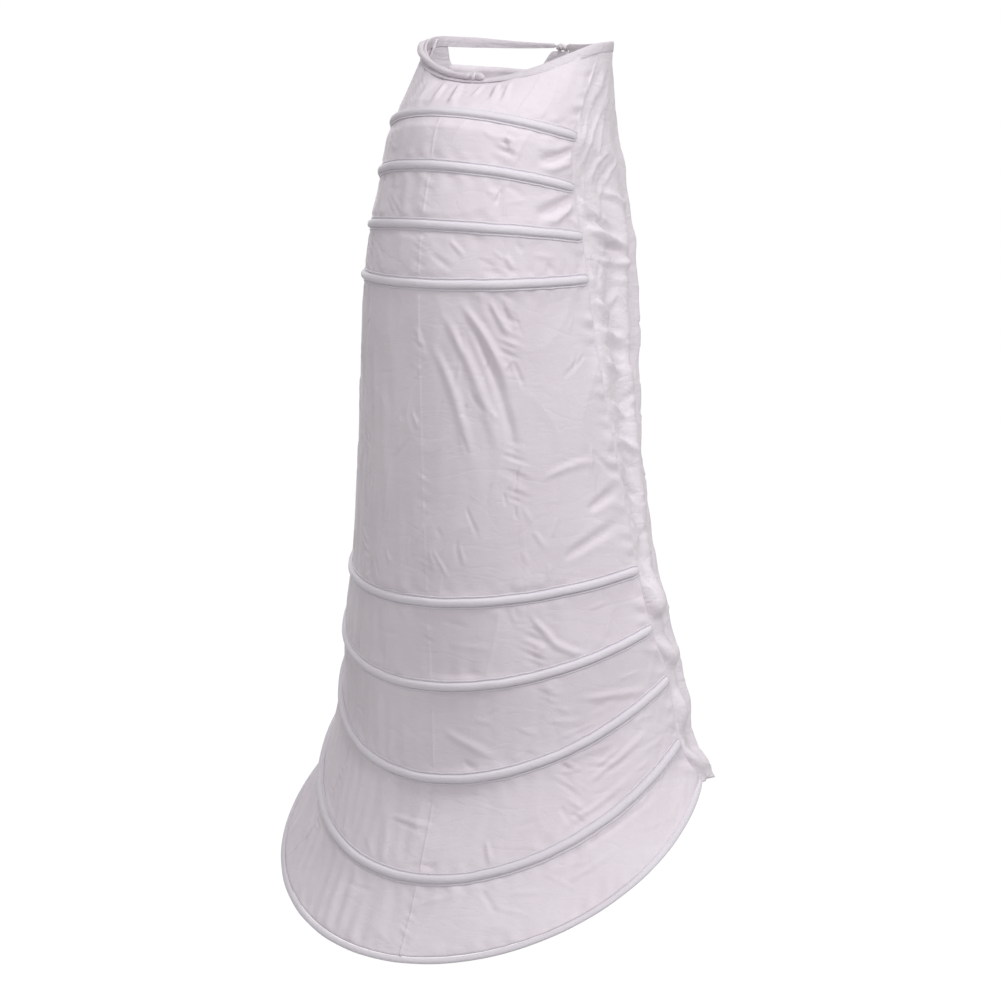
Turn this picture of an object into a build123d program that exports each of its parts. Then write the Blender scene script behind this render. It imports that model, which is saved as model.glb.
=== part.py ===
from build123d import *
import os
from collections import namedtuple
from math import cos, degrees, exp, hypot, radians, sin

# Boned bustle petticoat, as it hangs from the wearer's waist.
# Lengths are in millimetres. The origin is the centre of the waist at the height of its sides.
# +Z is up, the wearer faces -Y, the train is on +Y and the wearer's left is on +X.

# One row for the waist and one for each hoop, all measured on the cloth at that height.
# drop: how far the centre back lies below the origin
# back: how far the centre back lies behind the origin
# side: how far the side seam lies behind the origin
# half_width: half the distance between the side seams
# wrap: angle in degrees from the centre back to the side seam
# rise: how much higher the side seam is than the centre back
# seam: share of the wrap at which the middle seam of each half lies
# front: how far the centre front lies before the origin
# fullness: how square the front is in plan, 0.55 for a plain ellipse
Station = namedtuple("Station", "name drop back side half_width wrap rise seam front fullness")

WAIST = Station("waist", drop=40, back=99, side=0, half_width=111, wrap=90, rise=40,
                seam=0.50, front=99, fullness=0.55)
HOOPS = [
    Station("1", drop=74, back=181, side=84, half_width=117, wrap=77, rise=-41,
            seam=0.50, front=106, fullness=0.80),
    Station("2", drop=132, back=202, side=86, half_width=120, wrap=80, rise=-29,
            seam=0.50, front=112, fullness=0.85),
    Station("3", drop=198, back=219, side=84, half_width=131, wrap=81, rise=-19,
            seam=0.50, front=117, fullness=0.84),
    Station("4", drop=264, back=228, side=84, half_width=138, wrap=81, rise=0,
            seam=0.50, front=120, fullness=0.78),
    Station("5", drop=629, back=212, side=52, half_width=187, wrap=67, rise=30,
            seam=0.48, front=125, fullness=0.50),
    Station("6", drop=727, back=204, side=45, half_width=201, wrap=71, rise=61,
            seam=0.50, front=128, fullness=0.52),
    Station("7", drop=835, back=197, side=28, half_width=214, wrap=75, rise=110,
            seam=0.53, front=130, fullness=0.54),
    Station("8", drop=946, back=231, side=26, half_width=227, wrap=87, rise=148,
            seam=0.57, front=133, fullness=0.55),
    Station("hem", drop=1035, back=277, side=5, half_width=247, wrap=106, rise=188,
            seam=0.57, front=136, fullness=0.55),
]
STATIONS = [WAIST] + HOOPS
HEM = HOOPS[-1]
waist_front_drop = 10

# Cloth and seams
cloth = 0.8
fit_gap = 0.35
seam_gap = 0.3

# The cloth is drawn straight over this much drop, under the band and on each side of a hoop
band_bed = 6
casing_bed = 14

# Bones, their dipped tips and the sewn casings
bone_width = 6.0
bone_thick = 1.2
tip_length = 11
tip_pocket = 7
tip_wall = 0.3
tip_gap = 0.2
tip_end = 5
casing_wall = 0.8
casing_flange = 2.4
arch_round = 1.5
arch_corner = 0.6
hem_bone_width = 4.0
hem_corner = 0.75

# Waistband and its drawstring
band_height = 12
band_wall = 0.8
band_gap = 1.7
tuck = 3
string_thick = 0.8
string_ease = 0.5
band_open = 5
band_taper = 52
band_end_height = 5
knot_length = 12
knot_height = 8
tail_length = 26
tail_spread = 7
tail_out = 11
tail_width = 4.2
tail_bend = 5
roll_length = 16
roll_height = 8
bead_round = 0.9

# The front panel hangs loose below the band on the wearer's left of the knot
scoop_depth = 20
scoop_start = 5
scoop_end = 78
scoop_edge = 10
front_fold = 4.5
front_folds = 11
fold_turn = 90
seam_share = 0.12
puff = 9
puff_share = 0.07
facing_low = 0.02
facing_high = 0.92
facing_thick = 1.2
side_seam_gap = 0.8

# Tapes that tie the ends of each half hoop together behind the wearer's legs
tape_width = 12
tape_thick = 0.9
tape_bow_top = 40
tape_bow_foot = 26
tape_end_gap = 1.7

# How finely the cloth is drawn
across_gore = 8
across_front = 36
across_band = 64
gore_rows = 3
front_rows = 2
plain_rows = 4
least_row = 1
hoop_sections = 24
tiny = 0.01

string_width = band_height - tuck - band_wall - 2 * fit_gap - string_ease
half_cloth_gap = seam_gap / 2
tip_width = bone_width + 2 * (tip_gap + tip_wall)
tip_thick = bone_thick + 2 * (tip_gap + tip_wall)
arch_half = tip_width / 2 + fit_gap
arch_height = tip_thick + 2 * fit_gap
casing_half = arch_half + casing_wall + casing_flange
bone_centre = fit_gap + tip_thick / 2
hem_tip_width = hem_bone_width + 2 * (tip_gap + tip_wall)
hem_arch_half = hem_tip_width / 2 + fit_gap
hem_tube_half = hem_arch_half + casing_wall
hem_tube_depth = tip_thick / 2 + fit_gap + casing_wall


def slope(field, i):
    """How fast a size changes with the drop at a station, level where the size turns."""
    if i in (0, len(STATIONS) - 1):
        a, b = STATIONS[min(i, len(STATIONS) - 2)], STATIONS[min(i + 1, len(STATIONS) - 1)]
        return (getattr(b, field) - getattr(a, field)) / (b.drop - a.drop)
    a, b, c = STATIONS[i - 1:i + 2]
    before = (getattr(b, field) - getattr(a, field)) / (b.drop - a.drop)
    after = (getattr(c, field) - getattr(b, field)) / (c.drop - b.drop)
    if before * after <= 0:
        return 0.0
    return 2 * before * after / (before + after)


def size_at(field, drop):
    """A size of the petticoat at any drop, smooth through the waist and the hoops."""
    i = 0
    while i < len(STATIONS) - 2 and drop > STATIONS[i + 1].drop:
        i += 1
    a, b = STATIONS[i], STATIONS[i + 1]
    span = b.drop - a.drop
    u = (drop - a.drop) / span
    rise = u * u * (3 - 2 * u)
    start = u * (1 - u) ** 2 * span * slope(field, i)
    end = u * u * (u - 1) * span * slope(field, i + 1)
    return getattr(a, field) * (1 - rise) + getattr(b, field) * rise + start + end


def waist_share(drop):
    """1 at the waist, falling smoothly to 0 at the first hoop."""
    u = min(max((drop - WAIST.drop) / (HOOPS[0].drop - WAIST.drop), 0), 1)
    return 1 - u * u * (3 - 2 * u)


def back_point(s, drop):
    """A point on the hooped back: s is 0 at the centre back and 1 at the left side seam."""
    wrap = radians(size_at("wrap", drop))
    back = size_at("back", drop)
    side = size_at("side", drop)
    depth = (back - side) / (1 - cos(wrap))
    t = s * wrap
    x = size_at("half_width", drop) * sin(t) / sin(wrap)
    y = back - depth * (1 - cos(t))
    share = (1 - cos(t)) / (1 - cos(wrap)) * (1 + waist_share(drop) * cos(t))
    return Vector(x, y, size_at("rise", drop) * share - drop)


def between_hoops(drop):
    """0 at every hoop and 1 halfway between two lower hoops."""
    for a, b in zip(HOOPS[4:-1], HOOPS[5:]):
        if a.drop <= drop <= b.drop:
            return sin(radians(180) * (drop - a.drop) / (b.drop - a.drop)) ** 2
    return 0.0


def front_point(s, drop):
    """A point on the soft front: s is 1 at the left side seam and 0 at the centre front."""
    q = 1 - abs(s)
    width = size_at("half_width", drop)
    side = size_at("side", drop)
    front = size_at("front", drop)
    reach = size_at("fullness", drop)
    corner = side - reach * (side + front)
    x = width * (1 - q) ** 2 * (1 + 2 * q) + 3 * (1 - q) * q * q * reach * width
    y = side * (1 - q) ** 3 + 3 * (1 - q) ** 2 * q * corner - front * q * q * (3 - 2 * q)
    if s < 0:
        x = -x
    level = back_point(1, drop).Z - waist_front_drop * waist_share(drop) * q * q * (3 - 2 * q)
    free = min(q / seam_share, 1) * (1 - waist_share(drop))
    hang = free * min((drop - HOOPS[0].drop) / (HOOPS[3].drop - HOOPS[0].drop), 1)
    lift = front_fold * hang * sin(radians(180) * front_folds * s + drop / fold_turn)
    lift += puff * between_hoops(drop) * q / puff_share * exp(1 - q / puff_share)
    r = hypot(x, y) or 1
    return Vector(x * (1 + lift / r), y * (1 + lift / r), level)


def bed_at(drop):
    """The straight stretch of cloth under the band or a casing that holds this drop."""
    if drop <= WAIST.drop + band_bed:
        return WAIST.drop, WAIST.drop + band_bed
    for hoop in HOOPS:
        if abs(drop - hoop.drop) <= casing_bed:
            return hoop.drop - casing_bed, min(hoop.drop + casing_bed, HEM.drop)
    return None


def pressed(surface, s, drop):
    """A point on the cloth, which lies straight under the band and every casing."""
    bed = bed_at(drop)
    if bed is None:
        return surface(s, drop)
    u = (drop - bed[0]) / (bed[1] - bed[0])
    return surface(s, bed[0]) * (1 - u) + surface(s, bed[1]) * u


def back_cloth(s, drop):
    return pressed(back_point, s, drop)


def front_cloth(s, drop):
    return pressed(front_point, s, drop)


def frame_at(surface, s, drop):
    """Place on the cloth with its directions along the hoop, up the cloth and out of it."""
    p = surface(s, drop)
    along = (surface(s + tiny, drop) - surface(s - tiny, drop)).normalized()
    up = surface(s, drop - tiny * 10) - surface(s, drop + tiny * 10)
    up = (up - along * up.dot(along)).normalized()
    out = along.cross(up)
    flat = Vector(p.X, p.Y - size_at("side", drop), 0)
    if out.dot(flat) < 0:
        out = out * -1
    return p, along, up, out


def on_cloth(surface, s, drop, raise_by):
    """A point that lies a given height above the cloth."""
    p, _, _, out = frame_at(surface, s, drop)
    return p + out * raise_by


def length_per_share(surface, s, drop):
    return (surface(s + tiny, drop) - surface(s - tiny, drop)).length / (2 * tiny)


def length_per_drop(surface, s, drop):
    """Distance across a hoop's line for each millimetre of drop."""
    _, _, up, _ = frame_at(surface, s, drop)
    return (surface(s, drop - tiny) - surface(s, drop + tiny)).dot(up) / (2 * tiny)


def top_drop(surface, s, below_band):
    """The drop of a cloth edge that lies a given distance below the band's top."""
    drop = WAIST.drop
    for _ in range(8):
        middle = (drop + WAIST.drop) / 2
        drop = WAIST.drop + below_band / length_per_drop(surface, s, middle)
    return drop


def hem_drop(surface, s, above):
    """The drop of a cloth edge that lies a given distance above the hem's edge."""
    return HEM.drop - above / length_per_drop(surface, s, HEM.drop - above)


def row_drops(first, last, rows_a_span):
    """Heights at which the cloth is drawn: both edges of each bed, and even steps between."""
    stops = [first, max(WAIST.drop + band_bed, first + least_row)]
    for hoop in HOOPS[:-1]:
        stops += [hoop.drop - casing_bed, hoop.drop + casing_bed]
    stops += [HEM.drop - casing_bed, last]
    rows = [first]
    for i, (a, b) in enumerate(zip(stops, stops[1:])):
        plain = HOOPS[3].drop < a and b < HOOPS[4].drop
        steps = 1 if i % 2 == 0 else rows_a_span * (plain_rows if plain else 1)
        rows += [a + (b - a) * k / steps for k in range(1, steps + 1)]
    return rows


def level_cloth(outer, inner):
    """A sheet of cloth drawn as smooth level lines with straight cloth between them."""
    wires = []
    for row_out, row_in in zip(outer, inner):
        wires.append(Wire([Edge.make_spline(row_out), Edge.make_line(row_out[-1], row_in[-1]),
                           Edge.make_spline(row_in[::-1]), Edge.make_line(row_in[0], row_out[0])]))
    walls = Shell.make_loft(wires, ruled=True).faces()
    rims = [Face.make_surface_from_curves(Edge.make_spline(outer[i]), Edge.make_spline(inner[i]))
            for i in (0, -1)]
    return Solid(Shell(list(walls) + rims))


def sheet(surface, columns):
    """Cloth of even thickness: each column is a list of (share, drop) from its top down."""
    outer = []
    inner = []
    for row in zip(*columns):
        outer.append([on_cloth(surface, s, d, 0) for s, d in row])
        inner.append([on_cloth(surface, s, d, -cloth) for s, d in row])
    return level_cloth(outer, inner)


def gore_columns(low, high, side):
    """Columns of one gore between two seams, each a function of the drop."""
    def column(k):
        def share(drop):
            a = 0.0 if low == "centre" else size_at("seam", drop)
            b = 1.0 if high == "side" else size_at("seam", drop)
            gap = half_cloth_gap / length_per_share(back_cloth, (a + b) / 2, drop)
            return side * (a + gap + (b - a - 2 * gap) * k / across_gore)
        return share
    return [column(k) for k in range(across_gore + 1)]


def gore(low, high, side):
    """Cloth between two seams, from inside the band down to the hem's tube."""
    columns = []
    for share in gore_columns(low, high, side):
        first = top_drop(back_cloth, share(WAIST.drop), band_height - tuck)
        last = hem_drop(back_cloth, share(HEM.drop), 2 * hem_tube_half + fit_gap)
        columns.append([(share(d), d) for d in row_drops(first, last, gore_rows)])
    return sheet(back_cloth, columns)


def scoop(s):
    """The cloth's top edge sags under the band between the knot and the left front."""
    angle = (1 - s) * 90
    if s < 0:
        return band_height - tuck
    into = min(max((90 - scoop_start - angle) / scoop_edge, 0), 1)
    out = min(max((angle - (90 - scoop_end)) / scoop_edge, 0), 1)
    sag = into * into * (3 - 2 * into) * out * out * (3 - 2 * out)
    return band_height - tuck + (scoop_depth + tuck) * sag


def front_shares(gap):
    """Shares across the front panel, from its left side seam to its right one."""
    end = 1 - gap / length_per_share(front_cloth, 0.9, WAIST.drop)
    return [end * (1 - 2 * k / across_front) for k in range(across_front + 1)]


def front_columns():
    """Every column of the front panel, from its sagging top edge to its hem."""
    columns = []
    for s in front_shares(side_seam_gap):
        first = top_drop(front_cloth, s, scoop(s))
        columns.append([(s, d) for d in row_drops(first, HEM.drop - seam_gap, front_rows)])
    return columns


def front_panel():
    return sheet(front_cloth, front_columns())


def front_facing():
    """The folded facing inside the front panel's lower edge, straight like the panel there."""
    def line(share, raise_by):
        points = []
        for column in front_columns()[1:-1]:
            low = on_cloth(front_cloth, *column[-1], raise_by)
            high = on_cloth(front_cloth, *column[-2], raise_by)
            points.append(low + (high - low) * share)
        return points
    near = -cloth - 2 * fit_gap
    steps = (facing_low, facing_high)
    return level_cloth([line(k, near) for k in steps],
                       [line(k, near - facing_thick) for k in steps])


def section(frame, corners):
    """A closed outline whose corners are (up, out) distances from a place on the cloth."""
    p, _, up, out = frame
    return Wire.make_polygon([p + up * u + out * v for u, v in corners], close=True)


def bar(surface, drop, shares, corners):
    """A strip of one outline that follows the cloth at one height."""
    return Solid.make_loft([section(frame_at(surface, s, drop), corners) for s in shares])


def arch(height, half):
    """Half outline of a casing with flat flanges and a raised channel."""
    side = half + casing_wall
    top = height + casing_wall
    outer = [(casing_half, 0), (casing_half, casing_wall), (side, casing_wall),
             (side, top - arch_round), (side - arch_round, top)]
    inner = [(half - arch_corner, height), (half, height - arch_corner), (half, 0)]
    right = [(u, v + fit_gap) for u, v in outer]
    left = [(-u, v + fit_gap) for u, v in reversed(outer)]
    back = [(-u, v + fit_gap) for u, v in inner[::-1]]
    return right + left + back + [(u, v + fit_gap) for u, v in inner]


def hoop_shares(reach):
    """Even shares of the wrap from one end of a hoop to the other."""
    return [reach * (2 * k / hoop_sections - 1) for k in range(hoop_sections + 1)]


def casing(hoop):
    """A strip of cloth sewn over a bone along the outside of the gores."""
    end = 1 - seam_gap / length_per_share(back_cloth, 1, hoop.drop)
    return bar(back_cloth, hoop.drop, hoop_shares(end), arch(arch_height, arch_half))


def box_outline(up, out, middle_up=0, middle_out=0):
    return [(middle_up + up, middle_out - out), (middle_up + up, middle_out + out),
            (middle_up - up, middle_out + out), (middle_up - up, middle_out - out)]


def bone_end_share(hoop):
    """Share of the wrap at which the bone itself ends, inside its tip's pocket."""
    room = tip_end + tip_length - tip_pocket + tip_gap
    return 1 - room / length_per_share(back_cloth, 1, hoop.drop)


def bone(hoop):
    """A flat spring strip that keeps the hoop's curve."""
    up, middle_up, middle_out = bone_place(hoop)
    outline = box_outline(up, bone_thick / 2, middle_up, middle_out)
    return bar(back_cloth, hoop.drop, hoop_shares(bone_end_share(hoop)), outline)


def bone_place(hoop):
    """Half width of a bone and where its middle lies, up the cloth and out of it."""
    if hoop is HEM:
        return hem_bone_width / 2, hem_tube_half, -cloth / 2
    return bone_width / 2, 0, bone_centre


def tips(hoop):
    """A dipped cap on each end of a bone, with a pocket that holds the bone's end."""
    half, middle_up, middle_out = bone_place(hoop)
    end = bone_end_share(hoop) - tip_pocket / 2 / length_per_share(back_cloth, 1, hoop.drop)
    width = 2 * half + 2 * (tip_gap + tip_wall)
    caps = []
    for side in (-1, 1):
        p, along, up, out = frame_at(back_cloth, side * end, hoop.drop)
        if along.X * p.X + along.Y * (p.Y - size_at("back", hoop.drop)) < 0:
            along = along * -1
        place = Plane(p + up * middle_up + out * middle_out, x_dir=along, z_dir=out)
        cap = Pos((tip_length - tip_pocket) / 2 + tip_gap, 0, 0) * Box(
            tip_length, width, tip_thick)
        cap = fillet(cap.edges().filter_by(Axis.Z).group_by(Axis.X)[-1], tip_wall * 6)
        pocket = Pos(tip_gap, 0, 0) * Box(
            tip_pocket, 2 * (half + tip_gap), bone_thick + 2 * tip_gap)
        caps.append(place * (cap - pocket))
    return Compound(caps)


def hem_casing():
    """The turned-up hem: a narrow tube of cloth round the hem bone."""
    up = hem_tube_half
    out = hem_tube_depth
    k = hem_corner
    ring = [(up, -out * k), (up, out * k), (up * k, out), (-up * k, out),
            (-up, out * k), (-up, -out * k), (-up * k, -out), (up * k, -out)]

    def outline(scale_up, scale_out):
        return [(u * scale_up + up, v * scale_out - cloth / 2) for u, v in ring]
    skin = bar(back_cloth, HEM.drop, hoop_shares(1), outline(1, 1))
    inside = outline((up - casing_wall) / up, (out - casing_wall) / out)
    return skin - bar(back_cloth, HEM.drop, hoop_shares(1), inside)


def waist_frame(angle):
    """Place on the waist's edge: angle runs from 0 at the centre back to the left."""
    angle = (angle + 180) % 360 - 180
    if abs(angle) <= 90:
        return frame_at(back_cloth, angle / 90, WAIST.drop + tiny)
    share = (180 - abs(angle)) / 90
    return frame_at(front_cloth, share if angle > 0 else -share, WAIST.drop + tiny)


def waist_angles(reach):
    """Angles round the waist, the same reach to the left and to the right of the back."""
    return [reach * (2 * k / across_band - 1) for k in range(across_band + 1)]


def band_room(angle):
    """Height of the band, which narrows towards the knot on the left."""
    left = min(max((180 - band_open - angle) / band_taper, 0), 1)
    return band_end_height + (band_height - band_end_height) * left


def band_outline(height):
    """The folded band: two walls that hold the cloth's edge, closed along the top."""
    inner = band_gap
    outer = band_gap + band_wall
    return [(0, outer), (-height, outer), (-height, inner), (-band_wall, inner),
            (-band_wall, -cloth - inner), (-height, -cloth - inner),
            (-height, -cloth - outer), (0, -cloth - outer)]


def waistband():
    wires = []
    for angle in waist_angles(180 - band_open):
        wires.append(section(waist_frame(angle), band_outline(band_room(angle))))
    return Solid.make_loft(wires)


def drawstring():
    """A flat tape inside the band that comes out on both sides of the knot."""
    reach = 180 - degrees(knot_length / 2 / WAIST.front)
    wires = []
    for angle in waist_angles(reach):
        room = min(string_width, band_room(angle) - band_wall - fit_gap * 2)
        top = band_wall + fit_gap
        outline = box_outline(room / 2, string_thick / 2, -top - room / 2, -cloth / 2)
        wires.append(section(waist_frame(angle), outline))
    return Solid.make_loft(wires)


def bead(length, height):
    """A rounded roll of cloth, longest along X."""
    roll = Cylinder(height / 2, length, rotation=(0, 90, 0))
    return fillet(roll.edges().filter_by(GeomType.CIRCLE), height / 2 * bead_round)


def knot():
    """The tied knot at the centre front with its two short tails."""
    p, along, up, out = waist_frame(180)
    middle = p - up * (band_wall + fit_gap + band_end_height / 2) - out * (cloth / 2)
    place = Plane(middle, x_dir=Vector(1, 0, 0), z_dir=Vector(0, 0, 1))
    body = bead(knot_length, knot_height)
    for side in (-1, 1):
        route = FilletPolyline([(0, 0, 0), (side * knot_length / 2, -knot_height / 2, -knot_height),
                                (side * tail_spread, -tail_out, -tail_length)], radius=tail_bend)
        shape = Plane(route @ 0, z_dir=route % 0) * Rectangle(tail_width, string_thick)
        body += sweep(shape, path=route)
    return place * body


def back_roll():
    """The gathered roll of the band at the centre back."""
    p, along, up, out = waist_frame(0)
    middle = p + up * (roll_height / 2 - band_height / 2)
    middle += out * (band_gap + fit_gap + band_wall + roll_height / 2)
    place = Plane(middle, x_dir=Vector(1, 0, 0), z_dir=out)
    return place * bead(roll_length, roll_height)


def tie_tape(hoop):
    """A flat tape across the inside, bowed back behind the wearer's legs."""
    share = (hoop.drop - HOOPS[0].drop) / (HOOPS[7].drop - HOOPS[0].drop)
    bow = tape_bow_top + (tape_bow_foot - tape_bow_top) * share
    end = 1 - tape_width / 2 / length_per_share(back_cloth, 1, hoop.drop)
    left = on_cloth(back_cloth, end, hoop.drop, -cloth - tape_end_gap)
    right = Vector(-left.X, left.Y, left.Z)
    path = ThreePointArc(right, Vector(0, left.Y + bow, left.Z), left)
    place = Plane(path @ 0, x_dir=Vector(0, 0, 1), z_dir=path % 0)
    return sweep(place * Rectangle(tape_width, tape_thick), path=path)


def save(shape, name):
    export_step(shape, f"parts/{name}.step")


os.makedirs("parts", exist_ok=True)
for side_name, side_sign in (("left", 1), ("right", -1)):
    save(gore("centre", "seam", side_sign), f"back_gore_{side_name}")
    save(gore("seam", "side", side_sign), f"side_gore_{side_name}")
save(front_panel(), "front_panel")
save(front_facing(), "front_hem_facing")
save(waistband(), "waistband")
save(drawstring(), "waist_drawstring")
save(knot(), "front_knot")
save(back_roll(), "back_waist_roll")
for hoop in HOOPS:
    save(hem_casing() if hoop is HEM else casing(hoop), f"casing_{hoop.name}")
    save(bone(hoop), f"bone_{hoop.name}")
    save(tips(hoop), f"bone_tips_{hoop.name}")
for hoop in HOOPS[:-1]:
    save(tie_tape(hoop), f"tie_tape_{hoop.name}")
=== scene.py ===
"""A boned bustle petticoat, seen from behind its right side.

The petticoat hangs from the wearer's waist. Its form is one set of levels from the waist to
the hem, and every piece is laid on that form: the gores of cotton, the casings with their
stitches, the soft front, the band with its string, and the tapes inside.
Lengths are in metres, in the frame of the CAD part: +Z is up and the wearer faces -Y.
"""

import logging
import math
from dataclasses import dataclass, field
from enum import Enum

import bpy
import numpy as np
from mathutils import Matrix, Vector


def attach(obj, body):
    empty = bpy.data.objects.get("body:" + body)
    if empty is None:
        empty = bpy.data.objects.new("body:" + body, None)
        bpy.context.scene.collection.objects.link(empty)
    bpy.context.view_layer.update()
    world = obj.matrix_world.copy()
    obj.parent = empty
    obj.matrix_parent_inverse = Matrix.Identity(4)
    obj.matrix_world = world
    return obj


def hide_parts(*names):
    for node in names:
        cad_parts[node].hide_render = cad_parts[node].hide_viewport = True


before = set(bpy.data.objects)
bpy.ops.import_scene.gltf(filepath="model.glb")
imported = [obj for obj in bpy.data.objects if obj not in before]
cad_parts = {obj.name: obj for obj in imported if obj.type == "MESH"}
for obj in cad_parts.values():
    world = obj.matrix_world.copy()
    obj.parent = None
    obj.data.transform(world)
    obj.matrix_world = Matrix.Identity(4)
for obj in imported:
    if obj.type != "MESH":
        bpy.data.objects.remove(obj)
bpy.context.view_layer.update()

Array = np.ndarray
Pair = tuple[float, float]
Triple = tuple[float, float, float]

log = logging.getLogger("petticoat")

SEED = 20
WAVES = 9
QUARTER = 90


@dataclass(frozen=True)
class Level:
    """Sizes of the petticoat on the waist's line or on one hoop's line, in metres."""

    name: str
    drop: float
    back: float
    side: float
    half_width: float
    wrap: float
    rise: float
    seam: float
    front: float
    fullness: float


LEVELS = (
    Level("waist", 0.040, 0.099, 0.000, 0.111, 90, 0.040, 0.50, 0.099, 0.55),
    Level("1", 0.074, 0.181, 0.084, 0.117, 77, -0.041, 0.50, 0.106, 0.80),
    Level("2", 0.132, 0.202, 0.086, 0.120, 80, -0.029, 0.50, 0.112, 0.85),
    Level("3", 0.198, 0.219, 0.084, 0.131, 81, -0.019, 0.50, 0.117, 0.84),
    Level("4", 0.264, 0.228, 0.084, 0.138, 81, 0.000, 0.50, 0.120, 0.78),
    Level("5", 0.629, 0.212, 0.052, 0.187, 67, 0.030, 0.48, 0.125, 0.50),
    Level("6", 0.727, 0.204, 0.045, 0.201, 71, 0.061, 0.50, 0.128, 0.52),
    Level("7", 0.835, 0.197, 0.028, 0.214, 75, 0.110, 0.53, 0.130, 0.54),
    Level("8", 0.946, 0.231, 0.026, 0.227, 87, 0.148, 0.57, 0.133, 0.55),
    Level("hem", 1.035, 0.277, 0.005, 0.247, 106, 0.188, 0.57, 0.136, 0.55),
)


def smooth(t: Array) -> Array:
    """Smooth step of an array from 0 at t = 0 to 1 at t = 1."""
    t = np.clip(t, 0, 1)
    return t * t * (3 - 2 * t)


def lengths(v: Array) -> Array:
    """Length of each vector of an array."""
    return np.sqrt((v * v).sum(-1))


def unit(v: Array) -> Array:
    """Each vector of an array at length 1."""
    return v / np.maximum(lengths(v), 1e-12)[..., None]


def squarer(x: Array, power: float) -> Array:
    """Sine or cosine of an outline, squarer the further its power lies below 1."""
    return np.sign(x) * np.abs(x) ** power


def around(count: int) -> Array:
    """Angles spread evenly round a circle."""
    return np.linspace(0, 2 * math.pi, count, endpoint=False)


def tape_outline(width: float, thickness: float, corner: float) -> tuple[Array, Array]:
    """Outline of a flat tape with rounded edges.

    Args:
        width: the tape's width.
        thickness: its thickness.
        corner: how square its edges are, squarer the nearer to 0.

    Returns:
        Distances across the tape and out of it.
    """
    turn = around(12)
    return squarer(np.cos(turn), corner) * width / 2, squarer(np.sin(turn), 0.6) * thickness / 2


def travelled(line: Array) -> Array:
    """Distance along a line at each of its points, 0 at the first one."""
    return np.concatenate([[0], np.cumsum(lengths(np.diff(line, axis=0)))])


def swept(p: Array, up: Array, out: Array, u: Array, v: Array) -> Array:
    """Rings of points round a line.

    Args:
        p: points of the line.
        up: first direction of the outline at each point.
        out: second direction of the outline at each point.
        u: distances along the first direction, alike or one row for each point.
        v: distances along the second direction, in the same order.

    Returns:
        The rings, as an array of rings, points and coordinates.
    """
    return p[:, None] + up[:, None] * u[..., None] + out[:, None] * v[..., None]


def waves(x: Array, y: Array, size_x: float, size_y: float, seed: int) -> Array:
    """Smooth random hills.

    Args:
        x: distance across the cloth.
        y: distance down the cloth.
        size_x: usual length of a hill across.
        size_y: usual length of a hill down.
        seed: makes the pattern repeatable.

    Returns:
        Heights from about -1 to 1.
    """
    rng = np.random.default_rng(seed)
    total = np.zeros(np.broadcast(x, y).shape)
    for _ in range(WAVES):
        turn = rng.uniform(0, 2 * math.pi)
        pace = rng.uniform(0.6, 1.5)
        phase = rng.uniform(0, 2 * math.pi)
        fx = math.cos(turn) / size_x
        fy = math.sin(turn) / size_y
        total = total + np.sin(math.pi * pace * (x * fx + y * fy) + phase)
    return total / math.sqrt(WAVES)


def ripples(run: Array, size: float, seed: int) -> Array:
    """Smooth random hills along a line, from about -1 to 1."""
    return waves(run, 0 * run, size, 1.0, seed)


def ridges(x: Array, y: Array, size_x: float, size_y: float, seed: int) -> Array:
    """Sharp random creases between smooth hollows.

    Args:
        x: distance across the cloth.
        y: distance down the cloth.
        size_x: usual length of a hollow across.
        size_y: usual length of a hollow down.
        seed: makes the pattern repeatable.

    Returns:
        Heights from about -0.4 to 0.6.
    """
    height = 1 - np.minimum(np.abs(waves(x, y, size_x, size_y, seed)), 1)
    return height ** 3 - 0.4


@dataclass(frozen=True)
class Hills:
    """Random hills on the cloth: their height and their usual sizes across and down."""

    height: float
    across: float
    down: float
    seed: int

    def soft(self, x: Array, y: Array) -> Array:
        """Heights of smooth hills at places across and down the cloth."""
        return self.height * waves(x, y, self.across, self.down, self.seed)

    def sharp(self, x: Array, y: Array) -> Array:
        """Heights of sharp creases at places across and down the cloth."""
        return self.height * ridges(x, y, self.across, self.down, self.seed)


def in_scene(name: str, data: bpy.types.ID) -> bpy.types.Object:
    """Makes an object of some data and puts it into the scene.

    Args:
        name: name of the object.
        data: its mesh, lamp or camera.

    Returns:
        The new object.
    """
    made = bpy.data.objects.new(name, data)
    bpy.context.scene.collection.objects.link(made)
    return made


class Part(Enum):
    """The two surfaces of the petticoat's form."""

    BACK = "hooped back"
    FRONT = "soft front"


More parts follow.
